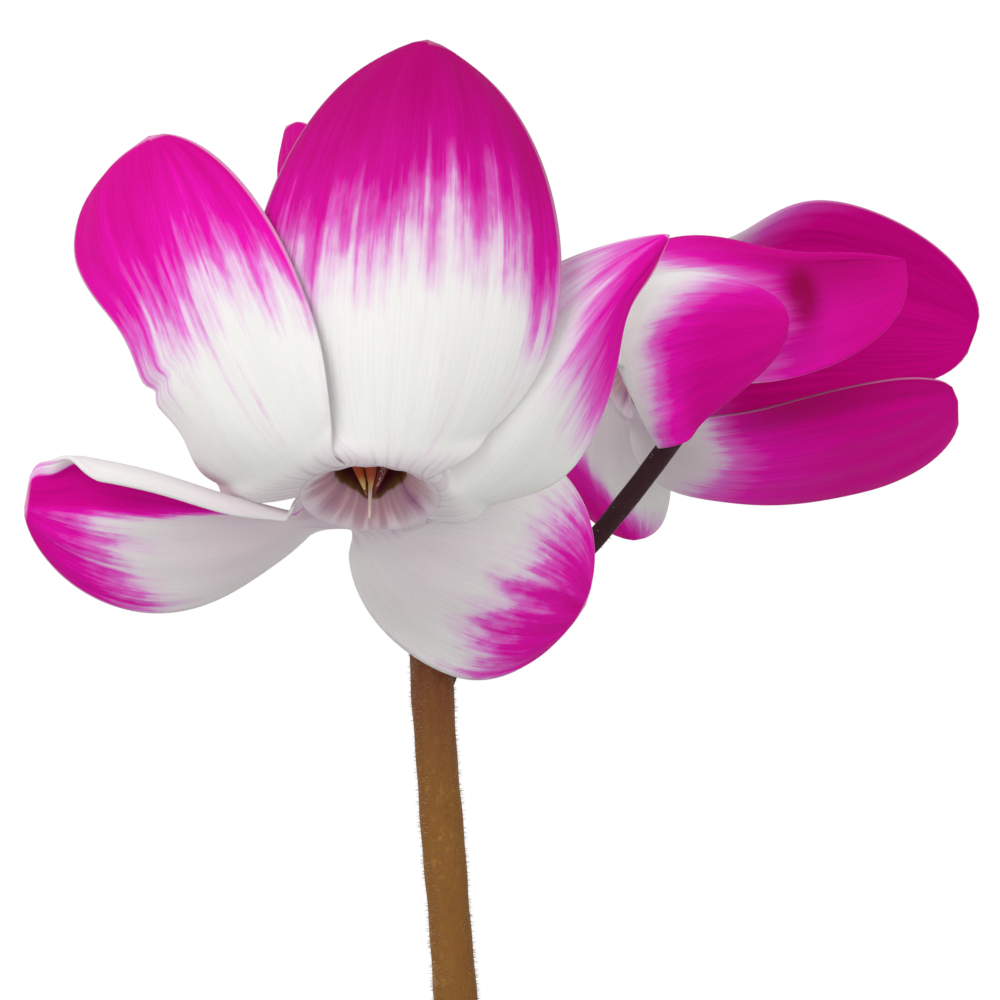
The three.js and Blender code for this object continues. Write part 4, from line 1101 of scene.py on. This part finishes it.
def leaf_axes(leaf):
    angle = math.radians(leaf["azimuth"])
    out = vec(math.cos(angle), math.sin(angle), 0)
    joint = leaf["radius"] * out + vec(0, 0, leaf["height"])
    droop, roll = math.radians(leaf["droop"]), math.radians(LEAF["roll"])
    ahead = math.cos(droop) * out + vec(0, 0, -math.sin(droop))
    level = vec(-math.sin(angle), math.cos(angle), 0)
    beside = math.cos(roll) * level + math.sin(roll) * np.cross(ahead, level)
    return out, joint, ahead, beside, np.cross(ahead, beside)


def leaf_mesh(leaf, axes):
    _, joint, ahead, beside, up = axes
    bm = disc(*DETAIL["leaf"])
    flat_x, flat_y, _ = coordinates(bm).T
    ring, spin = np.hypot(flat_x, flat_y), np.arctan2(flat_y, flat_x)
    length = leaf["length"]
    tooth = 0.012 * np.cos(LEAF["teeth"] * spin) * smooth((ring - 0.86) / 0.14)
    reach = ring * leaf_reach(spin, length) * (1 + tooth)
    x, y = reach * np.cos(spin), reach * np.sin(spin)
    arch = -0.0036 * reach**2 + 0.0012 * x**2
    wave = 0.045 * length * ring**2 * np.sin(4 * spin + 6 * leaf["seed"])
    quilt = 0.35 * ring * np.abs(np.sin(5 * spin)) * (1 - ring**4)
    attributes(bm, ring=ring, under=0)
    write_uv(bm, x / length, y / length)
    place(bm, joint + x[:, None] * ahead + y[:, None] * beside + (arch + wave + quilt)[:, None] * up)
    return bm


def with_underside(bm, thickness):
    """Gives a blade its second face, marked as the underside, and closes the rim."""
    under = bm.verts.layers.float["under"]
    upper = set(bm.verts)
    bm.normal_update()
    bmesh.ops.solidify(bm, geom=[*bm.verts, *bm.edges, *bm.faces], thickness=thickness)
    for v in bm.verts:
        v[under] = 0.0 if v in upper else 1.0
    return bm


def build_leaf(number, leaf):
    name = f"leaf_{number:02d}"
    axes = leaf_axes(leaf)
    out, joint, _, _, up = axes
    foot, root, lift = crown(leaf["root"]), leaf["root"] * out, vec(0, 0, 1)
    bend = root + 0.42 * (joint * vec(1, 1, 0) - root) + lift * (foot + 0.62 * (leaf["height"] - foot))
    route = [root + lift * (foot - TUBER["root_depth"]), root + lift * (foot + 1.5), bend,
             joint - 3.5 * out - 6 * lift, joint - 0.1 * up]
    radius = LEAF["petiole" if leaf["length"] > LEAF["young"] else "young_petiole"]
    blade = with_underside(leaf_mesh(leaf, axes), sizes().leaf / MM)
    piece(f"{name}_blade", blade, leaf_skin(), name)
    piece(f"{name}_petiole", stalk_mesh(route, radius, LEAF["sides"], LEAF["swell"])[0], dark_stalk_skin(),
          name)


# ---------------------------------------------------------------- pot, soil and tuber
def arc(centre, radius, start, end, count=5):
    """Points of a round corner, in degrees."""
    turns = np.radians(np.linspace(start, end, count))
    return [(centre[0] + radius * math.cos(a), centre[1] + radius * math.sin(a)) for a in turns]


def build_pot():
    _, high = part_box("pot")
    height, rim = high.z / MM, max(high.x, high.y) / MM
    foot, body_top, wall, floor = (POT[k] for k in ("foot", "body_top", "wall", "floor"))
    rim_base = height - POT["rim_height"]

    def inner(z):
        return foot - wall + (body_top - foot) * z / rim_base

    profile = [(0, 0), (foot - 12, 0), *arc((foot - 1.8, 1.8), 1.8, -90, -10),
               *arc((body_top - 0.6, rim_base - 0.9), 0.6, -10, 60, 3), (rim - 3, rim_base),
               *arc((rim - 2.6, rim_base + 1.6), 1.6, -90, -5), *arc((rim - 2, height - 2), 2, 0, 90),
               *arc((inner(rim_base) + 4.5, height - 2), 2, 90, 180), (inner(rim_base) + 1.2, rim_base + 6),
               (inner(rim_base), rim_base - 2), *arc((inner(floor) - 3, floor + 3), 3, 0, -90), (0, floor)]
    bm = spun(profile, DETAIL["pot"])
    face_out(bm)
    pot = piece("pot_clay", bm, clay_skin(), "pot")
    cutters = bmesh.new()
    for k in range(DRAIN["count"]):
        angle = math.pi / 4 + 2 * math.pi * k / DRAIN["count"]
        hole = bmesh.ops.create_cone(cutters, cap_ends=True, segments=32, radius1=DRAIN["foot"],
                                     radius2=DRAIN["top"], depth=DRAIN["height"])
        where = DRAIN["circle"] * vec(math.cos(angle), math.sin(angle), 0)
        bmesh.ops.translate(cutters, verts=hole["verts"], vec=where)
    bmesh.ops.scale(cutters, vec=(MM, MM, MM), verts=cutters.verts)
    drains = added("drains", as_mesh("drains", cutters))
    cut = pot.modifiers.new("Drains", "BOOLEAN")
    cut.object, cut.operation, cut.solver = drains, "DIFFERENCE", "EXACT"
    shaped = bpy.data.meshes.new_from_object(pot.evaluated_get(bpy.context.evaluated_depsgraph_get()))
    pot.modifiers.clear()
    pot.data = shaped
    bpy.data.objects.remove(drains)


def build_soil():
    _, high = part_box("soil")
    top, dome, radius = SOIL["top"], SOIL["dome"], high.x / MM - SOIL["gap"]
    bm = disc(*DETAIL["soil"])
    x, y, _ = radius * coordinates(bm).T
    out = np.hypot(x, y)
    clods = np.sin(0.45 * x + 1.3) * np.cos(0.52 * y) + np.sin(0.9 * x - 0.7 * y)
    grit = np.sin(2.3 * x + 0.7 * y) * np.sin(2.9 * y - 0.4 * x) + 0.6 * np.sin(5.1 * x) * np.sin(4.7 * y)
    height = top + dome * (1 - out / radius) + 0.7 * clods + 0.35 * grit
    height = np.where(out < TUBER["radius"] - 1, top - 1.5, height)
    place(bm, np.stack([x, y, height], axis=1))
    wall = bmesh.ops.extrude_edge_only(bm, edges=[e for e in bm.edges if e.is_boundary])["geom"]
    for v in wall:
        if isinstance(v, bmesh.types.BMVert):
            v.co.z = top - SOIL["depth"]
    bmesh.ops.contextual_create(bm, geom=[e for e in bm.edges if e.is_boundary])
    face_out(bm)
    piece("soil_bed", bm, soil_skin(), "soil")
    draw = np.random.default_rng(SEED)
    count = SOIL["crumbs"]
    crumbs = bmesh.new()
    bmesh.ops.create_icosphere(crumbs, subdivisions=1, radius=1)
    copy, shape = many(crumbs, count)
    out, angle = radius * np.sqrt(draw.uniform(0.24, 0.95, count)), draw.uniform(0, 2 * math.pi, count)
    size = sizes().clod / MM * draw.uniform(0.18, 0.5, count) ** 1.2
    spot = np.stack([out * np.cos(angle), out * np.sin(angle), top + dome * (1 - out / radius) + 0.2], axis=1)
    squat = draw.uniform((0.8, 0.6, 0.5), (1.1, 1.0, 0.9), (count, 3)) * size[:, None]
    place(crumbs, spot[copy] + shape * squat[copy] * draw.uniform(0.75, 1.2, (len(copy), 1)))
    piece("soil_crumbs", crumbs, soil_skin(), "soil", smooth_faces=False)


def build_tuber():
    bm = bmesh.new()
    rows, columns = DETAIL["tuber"]
    bmesh.ops.create_uvsphere(bm, u_segments=columns, v_segments=rows, radius=1)
    x, y, z = coordinates(bm).T
    polar, angle = np.arccos(np.clip(z, -1, 1)), np.arctan2(y, x)
    lump = 1 + 0.03 * np.sin(3 * angle + 1) * np.sin(polar) + 0.02 * np.cos(5 * angle) * np.sin(polar)
    rise = np.sign(np.cos(polar)) * np.abs(np.cos(polar)) ** 0.8 * TUBER["half_height"]
    cork = 0.25 * np.sin(23 * angle + 3 * np.sin(9 * polar)) * np.sin(19 * polar) * np.sin(polar)
    out = TUBER["radius"] * np.sin(polar) * lump + cork
    height = TUBER["centre"] + rise + 0.4 * cork
    place(bm, np.stack([out * np.cos(angle), out * np.sin(angle), height], axis=1))
    piece("tuber_corm", bm, tuber_skin(), "tuber")


# ---------------------------------------------------------------- stage
# In metres, but the camera's place, lens and sensor are in millimetres.
CAMERA = {"place": (-0.05, -290.0, 271.66), "lens": 81.4, "sensor": 36, "near": 0.01, "far": 50}
LAMPS = {"key": ((-0.55, -0.75, 0.85), 0.7, 6.5), "fill": ((0.8, -0.6, 0.45), 0.9, 2.5)}  # place, size, watts
LAMP_TARGET = (0, 0, 0.27)
SKY = {"lights": 0.72, "seen_more": 0.28}


def build_stage():
    scene = bpy.context.scene
    bm = bmesh.new()
    bmesh.ops.create_circle(bm, cap_ends=True, segments=96, radius=sizes().floor)
    floor = added("floor", as_mesh("floor", bm))
    floor.data.materials.append(floor_skin())
    world = bpy.data.worlds.new("studio")
    world.use_nodes = True
    world.node_tree.nodes.clear()
    net = Net(world.node_tree)
    seen = net.add("ShaderNodeLightPath").outputs["Is Camera Ray"]
    level = net.times(seen, SKY["seen_more"], SKY["lights"])
    net.add("ShaderNodeOutputWorld", Surface=net.add("ShaderNodeBackground", Color="sky", Strength=level))
    scene.world = world
    for name, (spot, size, power) in LAMPS.items():
        lamp = added(name, bpy.data.lights.new(name, "AREA"))
        lamp.data.shape, lamp.data.size, lamp.data.energy = "DISK", size, power
        lamp.location = spot
        lamp.rotation_euler = (Vector(LAMP_TARGET) - Vector(spot)).to_track_quat("-Z", "Y").to_euler()
    camera = added("camera", bpy.data.cameras.new("camera"))
    camera.data.sensor_width = CAMERA["sensor"]
    camera.data.lens = CAMERA["lens"]
    camera.data.clip_start, camera.data.clip_end = CAMERA["near"], CAMERA["far"]
    camera.location = Vector(CAMERA["place"]) * MM
    camera.rotation_euler = (math.pi / 2, 0, 0)
    scene.camera = camera
    scene.view_settings.view_transform = "Standard"


# ---------------------------------------------------------------- operators
class CYCLAMEN_OT_stage(bpy.types.Operator):
    """Add the floor, the lights and the camera"""

    bl_idname = "cyclamen.stage"
    bl_label = "Stage"

    def execute(self, context):
        build_stage()
        return {"FINISHED"}


class CYCLAMEN_OT_pot(bpy.types.Operator):
    """Add the clay pot with its drain holes"""

    bl_idname = "cyclamen.pot"
    bl_label = "Pot"

    def execute(self, context):
        build_pot()
        return {"FINISHED"}


class CYCLAMEN_OT_soil(bpy.types.Operator):
    """Add the bed of soil with its crumbs"""

    bl_idname = "cyclamen.soil"
    bl_label = "Soil"

    def execute(self, context):
        build_soil()
        return {"FINISHED"}


class CYCLAMEN_OT_tuber(bpy.types.Operator):
    """Add the half-buried tuber"""

    bl_idname = "cyclamen.tuber"
    bl_label = "Tuber"

    def execute(self, context):
        build_tuber()
        return {"FINISHED"}


class CYCLAMEN_OT_blooms(bpy.types.Operator):
    """Add the three blooms on their hooked stalks"""

    bl_idname = "cyclamen.blooms"
    bl_label = "Blooms"

    def execute(self, context):
        for number, bloom in enumerate((FIRST, SECOND, THIRD), 1):
            build_bloom(number, bloom)
        return {"FINISHED"}


class CYCLAMEN_OT_buds(bpy.types.Operator):
    """Add the three nodding buds"""

    bl_idname = "cyclamen.buds"
    bl_label = "Buds"

    def execute(self, context):
        for number, bud in enumerate(BUDS, 1):
            build_bud(number, bud)
        return {"FINISHED"}


class CYCLAMEN_OT_leaves(bpy.types.Operator):
    """Add the heart-shaped leaves"""

    bl_idname = "cyclamen.leaves"
    bl_label = "Leaves"

    def execute(self, context):
        for number, leaf in enumerate(leaf_list(), 1):
            build_leaf(number, leaf)
        return {"FINISHED"}


OPERATORS = [CYCLAMEN_OT_stage, CYCLAMEN_OT_pot, CYCLAMEN_OT_soil, CYCLAMEN_OT_tuber, CYCLAMEN_OT_blooms,
             CYCLAMEN_OT_buds, CYCLAMEN_OT_leaves]


class CYCLAMEN_PT_panel(bpy.types.Panel):
    """Lists the pieces of the plant"""

    bl_label = "Potted cyclamen"
    bl_space_type = "VIEW_3D"
    bl_region_type = "UI"
    bl_category = "Cyclamen"

    def draw(self, context):
        for group_name in ("cyclamen_sizes", "cyclamen_colours"):
            settings = getattr(context.scene, group_name)
            for name in settings.__annotations__:
                self.layout.prop(settings, name)
        for made in OPERATORS:
            self.layout.operator(made.bl_idname)


CLASSES = [CyclamenSizes, CyclamenColours, *OPERATORS, CYCLAMEN_PT_panel]


def register():
    for made in CLASSES:
        bpy.utils.register_class(made)
    bpy.types.Scene.cyclamen_sizes = bpy.props.PointerProperty(type=CyclamenSizes)
    bpy.types.Scene.cyclamen_colours = bpy.props.PointerProperty(type=CyclamenColours)


def unregister():
    del bpy.types.Scene.cyclamen_colours
    del bpy.types.Scene.cyclamen_sizes
    for made in reversed(CLASSES):
        bpy.utils.unregister_class(made)


def main():
    register()
    for made in OPERATORS:
        getattr(bpy.ops.cyclamen, made.bl_idname.split(".")[1])()


if __name__ == "__main__":
    main()
